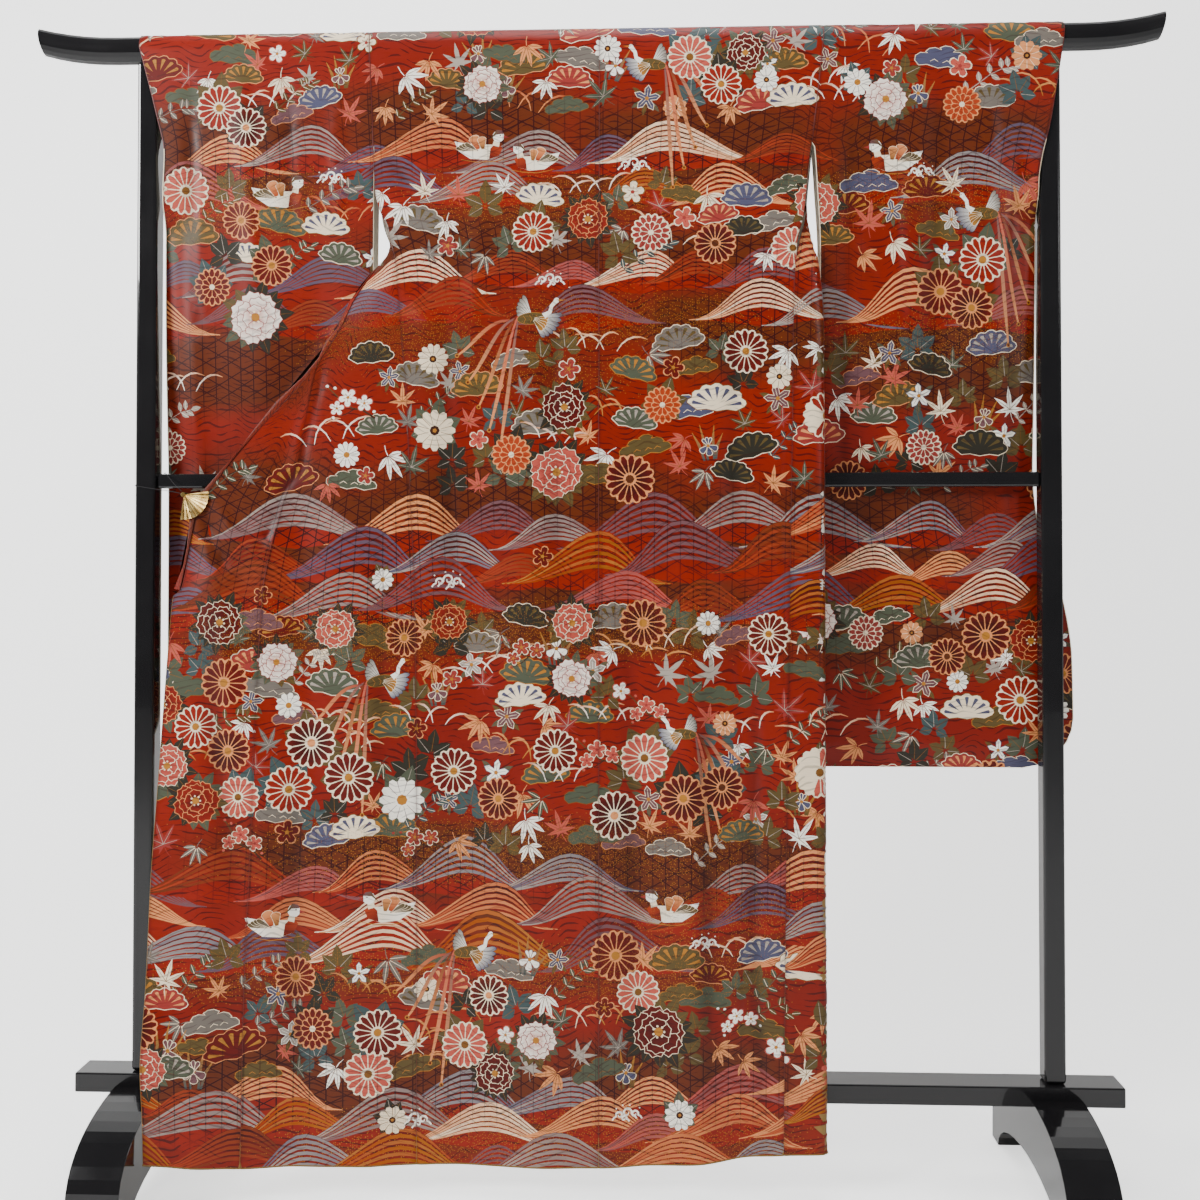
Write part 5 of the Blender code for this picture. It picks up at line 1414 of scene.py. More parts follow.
def matchLoops(piece, outerLoop, innerLoop):
    # for each point of the outer border, the inner border's point at the same place
    def distance(p):
        wide, long, x, y, close = piece.width, piece.length, p[:, 0], p[:, 1], tiles["same"]
        return np.where(y < close, x, np.where(x > wide - close, wide + y, np.where(
            y > long - close, wide + long + (wide - x), 2 * wide + long + (long - y))))

    mine, theirs = distance(outerLoop), distance(innerLoop)
    after = np.clip(np.searchsorted(theirs, mine), 1, len(theirs) - 1)
    return np.where(mine - theirs[after - 1] < theirs[after] - mine, after - 1, after)


seam = {"lines": (0.0012, 0.0028, 0.0048), "width": 0.0046, "depth": 0.0007, "clear": 0.008, "under": 0.0005}
# the shade value turns a trough's depth into painted shade in the silk's colour
creaseShape = {"slopeStep": 0.0015, "shade": 420.0, "farReach": 0.97, "farDepth": 0.85, "waver": 0.0022,
               "uneven": 0.22, "steepSide": 0.62}
# creases as (start x, start z, end x, end z, bow, width, depth); a depth below nought is a trough
nearCreases = (
    (-0.56, 0.985, -0.52, 0.88, 0.004, 0.01, -0.004),
    (-0.545, 0.985, -0.455, 0.9, 0.01, 0.014, 0.0036),
    (-0.562, 0.985, -0.5, 0.85, 0.012, 0.013, 0.0018),
    (-0.48, 0.905, -0.415, 1.045, -0.004, 0.008, -0.003),
    (-0.418, 1.01, -0.38, 1.2, -0.004, 0.008, -0.002),
    (-0.5, 1.08, -0.36, 1.26, 0.01, 0.018, 0.0026),
    (-0.54, 0.86, -0.5, 0.42, 0.01, 0.016, -0.003),
    (-0.5, 0.8, -0.455, 0.3, -0.012, 0.02, 0.003),
    (-0.42, 0.62, -0.4, 0.08, 0.008, 0.016, -0.0026),
    (-0.35, 0.52, -0.352, 0.07, -0.01, 0.018, 0.0024),
    (-0.3, 0.96, -0.29, 0.5, 0.006, 0.014, -0.0018),
    (-0.215, 1.26, -0.205, 0.76, -0.008, 0.018, -0.0022),
    (-0.15, 1.56, -0.165, 1.18, 0.006, 0.016, 0.002),
    (-0.115, 0.7, -0.105, 0.12, 0.01, 0.018, 0.0022),
    (-0.045, 1.33, -0.05, 0.82, 0.006, 0.014, -0.0018),
    (0.045, 0.86, 0.055, 0.18, -0.008, 0.016, -0.0022),
    (0.1, 1.48, 0.11, 1.02, 0.006, 0.017, 0.002),
    (0.165, 0.74, 0.175, 0.07, 0.007, 0.013, -0.0034),
    (0.195, 0.82, 0.205, 0.065, -0.006, 0.013, 0.0036),
    (0.232, 0.78, 0.24, 0.07, 0.006, 0.012, -0.0036),
    (0.262, 1.18, 0.268, 0.5, -0.005, 0.01, 0.0022),
    (0.2, 1.24, 0.212, 0.9, 0.005, 0.014, -0.0022),
    (-0.295, 1.34, -0.2, 1.22, 0.014, 0.016, 0.0024),
    (0.292, 1.35, 0.205, 1.235, -0.012, 0.016, 0.0022),
    (-0.3, 1.5, -0.23, 1.4, 0.008, 0.015, -0.0018),
    (0.305, 1.5, 0.235, 1.405, -0.008, 0.015, -0.0018),
    (-0.585, 1.62, -0.575, 1.18, 0.006, 0.013, -0.0024),
    (-0.52, 1.64, -0.5, 1.24, -0.008, 0.016, 0.0024),
    (-0.44, 1.62, -0.432, 1.36, 0.006, 0.014, -0.002),
    (-0.375, 1.6, -0.372, 1.38, -0.005, 0.012, 0.002),
    (-0.59, 1.15, -0.585, 0.92, -0.004, 0.01, 0.0018),
    (0.372, 1.56, 0.366, 0.9, 0.005, 0.012, -0.0022),
    (0.425, 1.63, 0.44, 0.78, -0.01, 0.018, 0.0026),
    (0.5, 1.6, 0.492, 0.96, 0.01, 0.016, -0.0024),
    (0.565, 1.64, 0.57, 1.08, -0.007, 0.014, 0.0024),
    (0.612, 1.56, 0.606, 0.82, 0.005, 0.01, -0.0018),
    (0.545, 0.86, 0.38, 0.7, -0.014, 0.018, -0.002),
    (0.36, 1.38, 0.47, 1.24, 0.01, 0.016, 0.0018),
)
farCreases = tuple((-startX * creaseShape["farReach"], startZ, -endX * creaseShape["farReach"], endZ, -bow,
                    width,
                    depth * creaseShape["farDepth"])
                   for startX, startZ, endX, endZ, bow, width, depth in nearCreases[6:])


def lineDown(piece, x):
    return np.stack([piece.along * 0 + x, piece.along], 1)


def lineAcross(piece, y):
    across = piece.shares * piece.width
    return np.stack([across, across * 0 + y], 1)


def seamLines(piece):
    # extra lines of points beside the two long edges, where the silk dips into its seams
    return [lineDown(piece, x) for reach in seam["lines"] for x in (reach, piece.width - reach)]


def seamShare(piece, x):
    beside = np.minimum(x, piece.width - x)
    return 1 - smoothStep(0.0, seam["width"], beside)


def creaseDepth(points, normals):
    # soft uneven troughs and ridges in the outer silk, placed on the near and the far side
    total = np.zeros(len(points))
    x, z, facing = points[:, 0], points[:, 2], -normals[:, 1]
    for table, sign in ((nearCreases, 1), (farCreases, -1)):
        weight = smoothStep(0.2, 0.7, facing * sign)
        if not weight.any():
            continue
        for startX, startZ, endX, endZ, bow, width, depth in table:
            lengthX, lengthZ = endX - startX, endZ - startZ
            size = math.hypot(lengthX, lengthZ)
            share = ((x - startX) * lengthX + (z - startZ) * lengthZ) / size ** 2
            off = ((x - startX) * lengthZ - (z - startZ) * lengthX) / size
            waver = creaseShape["waver"] * np.sin(9.0 * share + 40.0 * startX)
            off = off - bow * (1 - (2 * share - 1) ** 2) - waver
            ends = smoothStep(-0.05, 0.22, share) * (1 - smoothStep(0.7, 1.05, share))
            uneven = 1 - creaseShape["uneven"] + creaseShape["uneven"] * np.sin(13.0 * share + 60.0 * startZ)
            side = np.where(off > 0, 1.0, creaseShape["steepSide"]) * width
            total = total + depth * weight * ends * uneven * np.exp(-(off / side) ** 2)
    return total


def placedShapes(piece):
    # the drawn shapes that reach this piece, moved to its flat, with their tones
    polygons, tones = [], []
    for face in piece.faces:
        picture = face["picture"]
        flatAll = piece.toFlat(face, np.concatenate(picture.points))
        starts = np.cumsum([0] + [len(p) for p in picture.points])
        for n, tone in enumerate(picture.tones):
            points = flatAll[starts[n]:starts[n + 1]]
            low, high = points.min(axis=0), points.max(axis=0)
            if high[0] < 0 or low[0] > piece.width or high[1] < 0 or low[1] > piece.length:
                continue
            if face["keep"] is not None and not face["keep"](*picture.points[n].mean(axis=0)):
                continue
            axis = piece.toFlat(face, np.array([tone[6:8], tone[8:10]]))
            polygons.append(points)
            tones.append((*tone[:6], *axis[0], *axis[1], tone[10]))
    return polygons, np.array(tones) if tones else np.zeros((0, 11))


def rolledEdge(piece, rims, outerEdge, innerEdge, flatEdge):
    # rings of points and their normals, from the outer skin over the edge to the inner one
    centre, across = (outerEdge + innerEdge) / 2, outerEdge - innerEdge
    half = np.linalg.norm(across, axis=1, keepdims=True) / 2
    across = across / (2 * half)
    along = unit(np.roll(centre, -1, 0) - np.roll(centre, 1, 0))
    away = unit(np.cross(along, across) * piece.outward)
    size = beadSize(piece, flatEdge, rims)[:, None]
    rings, normals = [], []
    for turn in (60, 20, -20, -60):
        c, s = math.cos(math.radians(turn)), math.sin(math.radians(turn))
        rings.append(centre + away * size * (c + 0.1) + across * np.maximum(half, size) * s)
        normals.append(away * c + across * s)
    return rings, normals


def bridge(first, second, outward):
    # the triangles between two rings of point numbers
    a, b, c, d = first, np.roll(first, -1), np.roll(second, -1), second
    quad = np.stack([a, d, c, b] if outward > 0 else [a, b, c, d], 1)
    both = np.concatenate([quad[:, [0, 1, 2]], quad[:, [0, 2, 3]]])
    return both[threeCorners(both)]


def shellMesh(name, points, normals, faces, kinds):
    mesh = bpy.data.meshes.new(name)
    mesh.vertices.add(len(points))
    mesh.vertices.foreach_set("co", points.ravel())
    mesh.loops.add(faces.size)
    mesh.loops.foreach_set("vertex_index", faces.ravel())
    mesh.polygons.add(len(faces))
    mesh.polygons.foreach_set("loop_start", np.arange(0, faces.size, 3))
    mesh.polygons.foreach_set("material_index", np.where(kinds == 0, 0, 1))
    mesh.update(calc_edges=True)
    mesh.shade_smooth()
    mesh.normals_split_custom_set_from_vertices(normals.tolist())
    return mesh


def printedCorners(ground, flatCorners, tops, tones):
    # each corner's colour, and in the fourth value how much print or gold lies there
    corner = np.concatenate([ground, ground[..., :1] * 0], axis=2)
    printed = np.nonzero(tops > 0)[0]
    if len(printed):
        tone = tones[tops[printed] - 1]
        along = tone[:, 8:10] - tone[:, 6:8]
        reach = np.maximum((along ** 2).sum(axis=1), 1e-12)
        where = flatCorners[printed] - tone[:, None, 6:8]
        share = np.clip((where * along[:, None, :]).sum(axis=2) / reach[:, None], 0, 1)[..., None]
        corner[printed, :, :3] = tone[:, None, 0:3] * (1 - share) + tone[:, None, 3:6] * share
        corner[printed, :, 3] = np.maximum(0.6 + 0.4 * tone[:, None, 10], 0)
    return corner


def liningCorners(piece, corners, edging, liningTone, rims):
    # plain inside, gold near the hem of the body, and the edges in their own tone
    low = corners[..., 2]
    hemmed = (1 - smoothStep(0.42, 0.52, low))[..., None] if liningTone == "body" else low[..., None] * 0
    inside = dye["vermilion"] if liningTone == "collar" else dye["lining"]
    rest = np.ones((*low.shape, 4))
    rest[..., :3] = np.array(inside) * (1 - hemmed) + np.array(dye["hemGold"]) * hemmed
    if edging.any():
        rest[edging, :, :3] = rimTone(corners[edging].mean(axis=1), rims)[:, None, :]
    return rest


def makeShell(name, piece, rims, liningTone):
    polygons, tones = placedShapes(piece)
    rim = [lineAcross(piece, 0), lineAcross(piece, piece.length), lineDown(piece, 0),
           lineDown(piece, piece.width)]
    print(name, len(polygons), "shapes", sum(len(p) for p in polygons), "points", flush=True)
    flat, triangles, tops = triangulate(piece, polygons, np.concatenate(rim + seamLines(piece)))
    print(name, len(triangles), "triangles", flush=True)
    loop = border(piece, flat)
    innerFlat, innerTriangles, _ = triangulate(piece, [], flat[loop])
    innerLoop = border(piece, innerFlat)
    innerLoop = innerLoop[matchLoops(piece, flat[loop], innerFlat[innerLoop])]
    outer, outerNormals, outerMiddle, outerLift = piece.skin(flat, 1)
    inner, innerNormals = piece.skin(innerFlat, -1)[:2]
    if piece.outward < 0:
        triangles = triangles[:, ::-1]
    else:
        innerTriangles = innerTriangles[:, ::-1]
    edges, edgeNormals = [], []
    if rims["bead"]:
        edges, edgeNormals = rolledEdge(piece, rims, outer[loop], inner[innerLoop], flat[loop])
    count, edgeStart = len(outer), len(outer) + len(inner)
    rings = [loop] + [np.arange(len(loop)) + edgeStart + n * len(loop) for n in range(len(edges))]
    rings.append(innerLoop + count)
    quads = np.concatenate([bridge(first, second, piece.outward) for first, second in zip(rings, rings[1:])])
    points = np.concatenate([outer, inner, *edges])
    normals = np.concatenate([outerNormals, innerNormals, *edgeNormals])
    faces = np.concatenate([triangles, innerTriangles + count, quads])
    kinds = np.repeat([0, 1, 2], [len(triangles), len(innerTriangles), len(quads)])
    mesh = shellMesh(name, points, normals, faces, kinds)

    ground, masks = groundColour(outerMiddle)
    rest = faces[len(triangles):]
    colour = np.concatenate([
        printedCorners(ground[triangles], flat[triangles], tops, tones),
        liningCorners(piece, points[rest], kinds[len(triangles):] == 2, liningTone, rims)])
    mesh.attributes.new("print", "BYTE_COLOR", "CORNER").data.foreach_set("color", colour.ravel())
    # painted shade: the third ground channel darkens the silk's colour in crease troughs, by their depth, and
    # along the seams
    paintedShade = np.clip(-outerLift * creaseShape["shade"], 0, 1)
    groundMasks = np.zeros((len(points), 4))
    groundMasks[:count, :2] = masks
    groundMasks[:count, 2] = np.maximum(seamShare(piece, flat[:, 0]), paintedShade)
    groundMasks[:, 3] = 1.0
    mesh.attributes.new("ground", "BYTE_COLOR", "POINT").data.foreach_set("color", groundMasks.ravel())
    uv = np.concatenate([flat, innerFlat] + [flat[loop]] * len(edges))
    mesh.uv_layers.new(name="cloth").data.foreach_set("uv", uv[faces.ravel()].ravel())
    return addObject(name, mesh), len(faces)


def beadSize(piece, flatLoop, rims):
    x, y, close = flatLoop[:, 0], flatLoop[:, 1], 1e-5
    at = {"start": y < close, "end": y > piece.length - close, "first": x < close,
          "last": x > piece.width - close}
    size = np.full(len(flatLoop), rims["plain"])
    for where in rims["bead"]:
        size[at[where]] = rims["size"]
    return size


def rimTone(places, rims):
    tone = np.tile(np.array(dye["scarlet"]), (len(places), 1))
    if rims["tone"]:
        tone[rims["where"](places)] = dye[rims["tone"]]
    return tone


def groundColour(points):
    x, z = points[:, 0], points[:, 2]
    lattice, dust = patchMask("lattice", x, z), patchMask("dust", x, z)
    warm = 0.45 * (0.5 + 0.5 * np.sin(9.0 * x + 3.0 * np.sin(7.0 * z)) * np.sin(11.0 * z + 1.3))[:, None]
    base = blend(np.array(dye["vermilion"]), np.array(dye["scarlet"]), warm)
    gold = np.clip(lattice + 0.5 * dust, 0, 0.85)[:, None]
    return blend(base, np.array(dye["brownGold"]), gold), np.stack([lattice, dust], axis=1)


# materials
def newGroup(name, inputs, outputs):
    # an input's kind follows from its start value: a number, a colour, or None for a place
    group = bpy.data.node_groups.new(name, "ShaderNodeTree")
    for socket, value in inputs.items():
        kind = "Vector" if value is None else "Color" if isinstance(value, tuple) else "Float"
        made = group.interface.new_socket(socket, in_out="INPUT", socket_type="NodeSocket" + kind)
        if value is not None:
            made.default_value = value
    for socket in outputs.split():
        kind = "NodeSocketColor" if socket == "Tone" else "NodeSocketFloat"
        group.interface.new_socket(socket, in_out="OUTPUT", socket_type=kind)
    start, end = group.nodes.new("NodeGroupInput").outputs, group.nodes.new("NodeGroupOutput").inputs
    return group, Net(group), start, end


def weaveGroup():
    # satin threads with slubs, in flat metres
    group, net, start, end = newGroup("satin weave", {"Flat": None, "Thread": 900.0}, "Height Slub")
    scaled = net.vectorMaths("SCALE", {0: start["Flat"], "Scale": start["Thread"]})
    wave = net.node("ShaderNodeTexWave", {"Vector": scaled, "Scale": 0.3, "Distortion": 1.2, "Detail": 1.0},
                    wave_type="BANDS", bands_direction="DIAGONAL", wave_profile="SIN")
    slub = net.noise(start["Flat"], stretch=(60.0, 900.0, 1.0), dimensions="2D")
    net.feed(end["Height"], net.scaled(wave.outputs["Fac"], 0.6, slub))
    net.feed(end["Slub"], slub)
    return group


def waterGroup():
    # fine dark near-level lines that run across the ground, like still water
    group, net, start, end = newGroup("water lines", {"Flat": None, "Apart": 0.0088}, "Line")
    up = net.node("ShaderNodeSeparateXYZ", {0: start["Flat"]}).outputs["Y"]
    sway = net.noise(start["Flat"], detail=1.5, stretch=(14.0, 7.0, 1.0), dimensions="2D")
    off = net.offMiddle(net.maths("DIVIDE", net.maths("ADD", up, net.scaled(sway, 0.07)), start["Apart"]))
    swell = net.noise(start["Flat"], stretch=(30.0, 90.0, 1.0), dimensions="2D")
    net.feed(end["Line"], net.maths("LESS_THAN", off, net.scaled(net.band(swell, 0.36, 0.66), 0.15)))
    return group


def latticeGroup():
    # star lattice of three crossing sets of lines
    group, net, start, end = newGroup("star lattice", {"Flat": None, "Apart": 0.019}, "Line")
    place = net.node("ShaderNodeSeparateXYZ", {0: start["Flat"]}).outputs
    lines = None
    for turn in (0.0, 60.0, 120.0):
        c, s = math.cos(math.radians(turn)), math.sin(math.radians(turn))
        along = net.maths("ADD", net.scaled(place["X"], c), net.scaled(place["Y"], s))
        off = net.offMiddle(net.maths("ADD", net.maths("DIVIDE", along, start["Apart"]), 20.25))
        line = net.maths("SUBTRACT", 1.0, net.band(off, 0.03, 0.055))
        lines = line if lines is None else net.maths("MAXIMUM", lines, line)
    net.feed(end["Line"], lines)
    return group


def dustGroup():
    # flecks of gold leaf, denser where the mask is stronger
    group, net, start, end = newGroup("gold dust", {"Flat": None, "Mask": 1.0}, "Fleck")
    cells = net.node("ShaderNodeTexVoronoi", {"Vector": start["Flat"], "Scale": 420.0},
                     voronoi_dimensions="2D",
                     feature="F1").outputs
    chance = net.node("ShaderNodeSeparateColor", {0: cells["Color"]}).outputs[0]
    small = net.maths("SUBTRACT", 1.0, net.band(cells["Distance"], 0.22, 0.34))
    likely = net.maths("LESS_THAN", chance, net.scaled(start["Mask"], 0.42))
    net.feed(end["Fleck"], net.maths("MULTIPLY", small, likely))
    return group


def lacquerGroup():
    # the faint unevenness of brushed and rubbed lacquer, and the fine dust on it
    group, net, start, end = newGroup("brushed lacquer", {"Place": None, "Stroke": 9.0}, "Height Rough Tone")
    broad, fine = net.noise(start["Place"], start["Stroke"], 3.0), net.noise(start["Place"], 260.0, 4.0)
    specks = net.node("ShaderNodeTexVoronoi", {"Vector": start["Place"], "Scale": 190.0},
                      feature="F1").outputs
    dusty = net.maths("SUBTRACT", 1.0, net.band(specks["Distance"], 0.03, 0.1))
    net.feed(end["Height"], net.scaled(broad, 0.7, net.scaled(fine, 0.006)))
    net.feed(end["Rough"], net.scaled(net.band(broad, 0.35, 0.75), 0.1, net.scaled(dusty, 0.1, 0.09)))
    black = net.mix(broad, (0.0055, 0.0052, 0.0058), (0.012, 0.0112, 0.0118))
    net.feed(end["Tone"], net.mix(net.scaled(dusty, 0.14), black, (0.06, 0.058, 0.055)))
    return group


def giltGroup():
    # hammered gold with fine rubbing marks and darker hollows
    group, net, start, end = newGroup("rubbed gilt", {"Place": None, "Grain": 420.0}, "Height Rough Tone")
    marks = net.noise(start["Place"], start["Grain"], 3.0, stretch=(1.0, 1.0, 0.18))
    patina = net.band(net.noise(start["Place"], 90.0), 0.35, 0.68)
    net.feed(end["Height"], marks)
    net.feed(end["Rough"], net.scaled(marks, 0.18, 0.16))
    net.feed(end["Tone"], net.mix(patina, (0.6, 0.38, 0.12), (0.95, 0.7, 0.3)))
    return group


def braidGroup():
    # crossing sets of threads on a round cord, with painted shade in the hollows between the threads
    group, net, start, end = newGroup("braided cord", {
        "Place": None, "Turns": 760.0, "HollowShade": (0.01, 0.009, 0.01, 1.0),
        "Crown": (0.05, 0.046, 0.048, 1.0)},
        "Height Tone")
    waves = None
    for direction in ("X", "Z", "DIAGONAL"):
        inputs = {"Vector": start["Place"], "Scale": start["Turns"], "Distortion": 1.5}
        wave = net.node("ShaderNodeTexWave", inputs, wave_type="BANDS",
                        bands_direction=direction).outputs["Fac"]
        waves = wave if waves is None else net.maths("MULTIPLY", waves, wave)
    net.feed(end["Height"], waves)
    net.feed(end["Tone"], net.mix(waves, start["HollowShade"], start["Crown"]))
    return group


groups = {"weave": weaveGroup(), "water": waterGroup(), "lattice": latticeGroup(), "dust": dustGroup(),
          "lacquer": lacquerGroup(), "gilt": giltGroup(), "braid": braidGroup()}


def placeGroup(net, name, inputs):
    made = net.node("ShaderNodeGroup", node_tree=groups[name])
    for socket, value in inputs.items():
        net.feed(made.inputs[socket], value)
    return made.outputs


def startCloth(name, bumpStrength, **plain):
    made, net, shader = newMaterial(name, **plain)
    flat = net.node("ShaderNodeUVMap", uv_map="cloth").outputs[0]
    painted = net.node("ShaderNodeVertexColor", layer_name="print").outputs
    weave = placeGroup(net, "weave", {"Flat": flat})
    net.bump(shader, weave["Height"], bumpStrength, 0.0003)
    return made, net, shader.inputs, flat, painted, weave["Slub"]


def silkMaterial():
    made, net, shader, flat, painted, slub = startCloth("patterned vermilion silk", 0.16, Sheen_Weight=0.04,
                                                        Sheen_Roughness=0.4, Specular_IOR_Level=0.24)
    # the ground attribute holds the lattice patches, the gold dust and painted shade for crease troughs and
    # seams
    masks = net.node("ShaderNodeAttribute", attribute_name="ground").outputs["Color"]
    latticed, dusty, paintedShade = net.node("ShaderNodeSeparateColor", {0: masks}).outputs
    water = placeGroup(net, "water", {"Flat": flat})["Line"]
    lattice = placeGroup(net, "lattice", {"Flat": flat})["Line"]
    dust = placeGroup(net, "dust", {"Flat": flat, "Mask": dusty})["Fleck"]
    bare = net.maths("SUBTRACT", 1.0, painted["Alpha"], clamp=True)
    mostlyBare = net.scaled(bare, 0.62, 0.1)
    colour = net.mix(net.maths("MULTIPLY", water, mostlyBare), painted["Color"], dye["deepRed"])
    starred = net.maths("MULTIPLY", net.maths("MULTIPLY", lattice, latticed), bare)
    fleck = net.maths("MULTIPLY", dust, mostlyBare)
    colour = net.mix(fleck, net.mix(starred, colour, dye["deepRed"]), dye["gold"])
    # the slub's random tone, times painted shade that darkens crease troughs and seams by up to 38 per cent
    shade = net.maths("MULTIPLY", net.scaled(slub, 0.24, 0.88),
                      net.maths("SUBTRACT", 1.0, net.scaled(paintedShade, 0.38)))
    net.feed(shader["Base Color"], net.vectorMaths("SCALE", {0: colour, "Scale": shade}))
    gilded = net.maths("GREATER_THAN", painted["Alpha"], 0.8)
    net.feed(shader["Metallic"], net.maths("MAXIMUM", net.scaled(gilded, 0.7), net.scaled(fleck, 0.6)))
    rough = net.maths("ADD", net.scaled(slub, 0.12, 0.33), net.scaled(painted["Alpha"], 0.1))
    net.feed(shader["Roughness"], rough)
    return made


def liningMaterial():
    made, net, shader, flat, painted, slub = startCloth("plain lining silk", 0.2)
    colour = net.vectorMaths("SCALE", {0: painted["Color"], "Scale": net.scaled(slub, 0.2, 0.9)})
    net.feed(shader["Base Color"], colour)
    net.feed(shader["Roughness"], net.scaled(slub, 0.15, 0.42))
    return made


def solidMaterial(name, group, bumpStrength, bumpDistance, tones=None, **plain):
    made, net, shader = newMaterial(name, **plain)
    place = net.node("ShaderNodeTexCoord").outputs["Object"]
    detail = placeGroup(net, group, {"Place": place, **(tones or {})})
    net.feed(shader.inputs["Base Color"], detail["Tone"])
    if "Rough" in detail:
        net.feed(shader.inputs["Roughness"], detail["Rough"])
    net.bump(shader, detail["Height"], bumpStrength, bumpDistance)
    return made


silk, lining = silkMaterial(), liningMaterial()
lacquer = solidMaterial("black gloss lacquer", "lacquer", 0.12, 0.0012, Coat_Weight=0.45,
                        Coat_Roughness=0.03, Specular_IOR_Level=0.25)
gilt = solidMaterial("rubbed gilt metal", "gilt", 0.25, 0.00025, Metallic=1.0)
elastic = solidMaterial("braided black elastic", "braid", 0.6, 0.0004, Roughness=0.62)
# deep red in the thread's hollows is painted shade
thread = solidMaterial("red silk thread", "braid", 0.4, 0.0002,
                       {"HollowShade": dye["deepRed"], "Crown": dye["vermilion"]}, Roughness=0.45)
hardNodes = ((lacquer, "top_bar post_left post_right mid_rail low_beam foot_left foot_right"),
             (gilt, "clip_fan clip_jaw clip_pin"))
for material, nodes in hardNodes:
    for node in nodes.split():
        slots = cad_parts[node].data.materials
        for n in range(len(slots)):
            slots[n] = material
print("materials ready")


# the pieces in their pictures
def pictureFace(grid, rows, way, picture=None, keep=None):
    # t is the height, carried on by arc length over the bar
    return {"rows": rows, "t": grid[rows, 0, 2], "edgeX": grid[rows, 0, 0], "way": way,
            "start": np.zeros(len(rows)), "keep": keep, "picture": picture or nearPicture}


def overTop(grid, face, topRow, endRow):
    # adds the rows that go over the bar, measured along the cloth
    rows = np.arange(topRow + 1, endRow + 1)
    steps = np.linalg.norm(grid[rows, 0] - grid[rows - 1, 0], axis=1)
    arcs = np.cumsum(np.append(face["t"][-1], steps))[1:]
    return dict(face, t=np.append(face["t"], arcs), rows=np.append(face["rows"], rows),
                edgeX=np.append(face["edgeX"], grid[rows, 0, 0]), start=np.append(face["start"], rows * 0.0))


def rowsWhere(test):
    return np.array([n for n, z in enumerate(frontLevels) if test(z)])


def backPiece(table, side):
    grid = seamless(backGrid(table, side), 0.0003, 0.0006)
    topRow = len(grid) - 2 - cloth["wrapSteps"]
    face = pictureFace(grid, np.arange(topRow + 1), side)
    return Piece(grid, side, [overTop(grid, face, topRow, len(grid) - 1)], sceneWall)


def sleeveShell(table, back, side):
    grid = seamless(sleeveGrid(table, back, side), 0.0006, 0.0)
    half = (len(grid) - (cloth["wrapSteps"] - 1)) // 2
    nearSide = overTop(grid, pictureFace(grid, np.arange(half), side), half - 1, len(grid) - half - 1)
    farSide = pictureFace(grid, np.arange(len(grid) - half, len(grid)), side, farPicture,
                          lambda x, z: z < cloth["barZ"] + 0.02)
    return Piece(grid, side, [nearSide, farSide], sceneWall)


def leftFrontPiece(grid):
    nearSide = pictureFace(grid, rowsWhere(lambda z: z <= 1.335), -1, keep=lambda x, z: z < 1.36)
    farSide = pictureFace(grid, rowsWhere(lambda z: z > 1.335), 1, farPicture, lambda x, z: z > 1.34)
    return Piece(seamless(grid, 0.0006, 0.0004), 1, [nearSide, farSide], sceneWall)


def rightFrontPiece(grid):
    rows = np.arange(len(grid))
    steps = np.linalg.norm(np.diff(grid, axis=1), axis=2)
    arcs = np.concatenate([np.zeros((len(grid), 1)), np.cumsum(steps, axis=1)], 1)
    turn = grid[:, :, 0].argmax(axis=1)
    nearSide = pictureFace(grid, rowsWhere(lambda z: z <= 1.34), 1, keep=lambda x, z: x < 0.345 and z < 1.37)
    farSide = pictureFace(grid, rows, -1, farPicture, lambda x, z: x < 0.35)
    farSide["edgeX"], farSide["start"] = grid[rows, turn, 0], arcs[rows, turn]
    return Piece(seamless(grid, 0.0006, 0.0004), -1, [nearSide, farSide], sceneWall)


def stripPiece(grid, outward):
    face = pictureFace(grid, np.arange(len(grid)), -1, nearPicture if outward > 0 else farPicture)
    return Piece(seamless(grid, 0.0004, 0.0), outward, [face], sceneWall)


def collarPiece(grid):
    # its own picture runs along the band, in flat metres
    made = Piece(grid, -1, [], collarBand["wall"])
    made.creased = False
    made.faces = [{"rows": np.arange(len(grid)), "t": made.along, "edgeX": np.zeros(len(grid)), "way": 1,
                   "start": np.zeros(len(grid)), "keep": None, "picture": collarPicture}]
    return made


sceneWall = 0.0012
hemTop = 0.09
rng = random.Random(5)
collarPicture = Picture()
for n in range(60):
    kind = rng.choice((grass, maple, bamboo, cloud, pineFan, chrysanthemum, daisy))
    z = rng.uniform(0.85, 1.6)
    kind(Pen(collarPicture, rng.uniform(0.005, 0.055), z, rng.uniform(0.012, 0.022), rng.uniform(-30, 30)),
         rng)

leftFront, rightFront = leftFrontGrid(), rightFrontGrid()
leftStrip = stripGrid(overlapStrip["left"], leftFront, spreadFolds)
rightStrip = stripGrid(overlapStrip["right"], rightFront, rearFolds)
bodyRims = {"bead": ("start", "end"), "size": 0.0021, "plain": 0.0005, "tone": "hemGold",
            "where": lambda p: p[:, 2] < hemTop}
stripRims = dict(bodyRims, bead=("end",), where=lambda p: (p[:, 2] < hemTop) | (abs(p[:, 0] + 0.61) < 0.02))
sleeveRims = {"bead": ("first", "last"), "size": 0.0011, "plain": 0.0005, "tone": "cream",
              "where": lambda p: p[:, 2] < 1.5}
collarRims = {"bead": (), "tone": None}
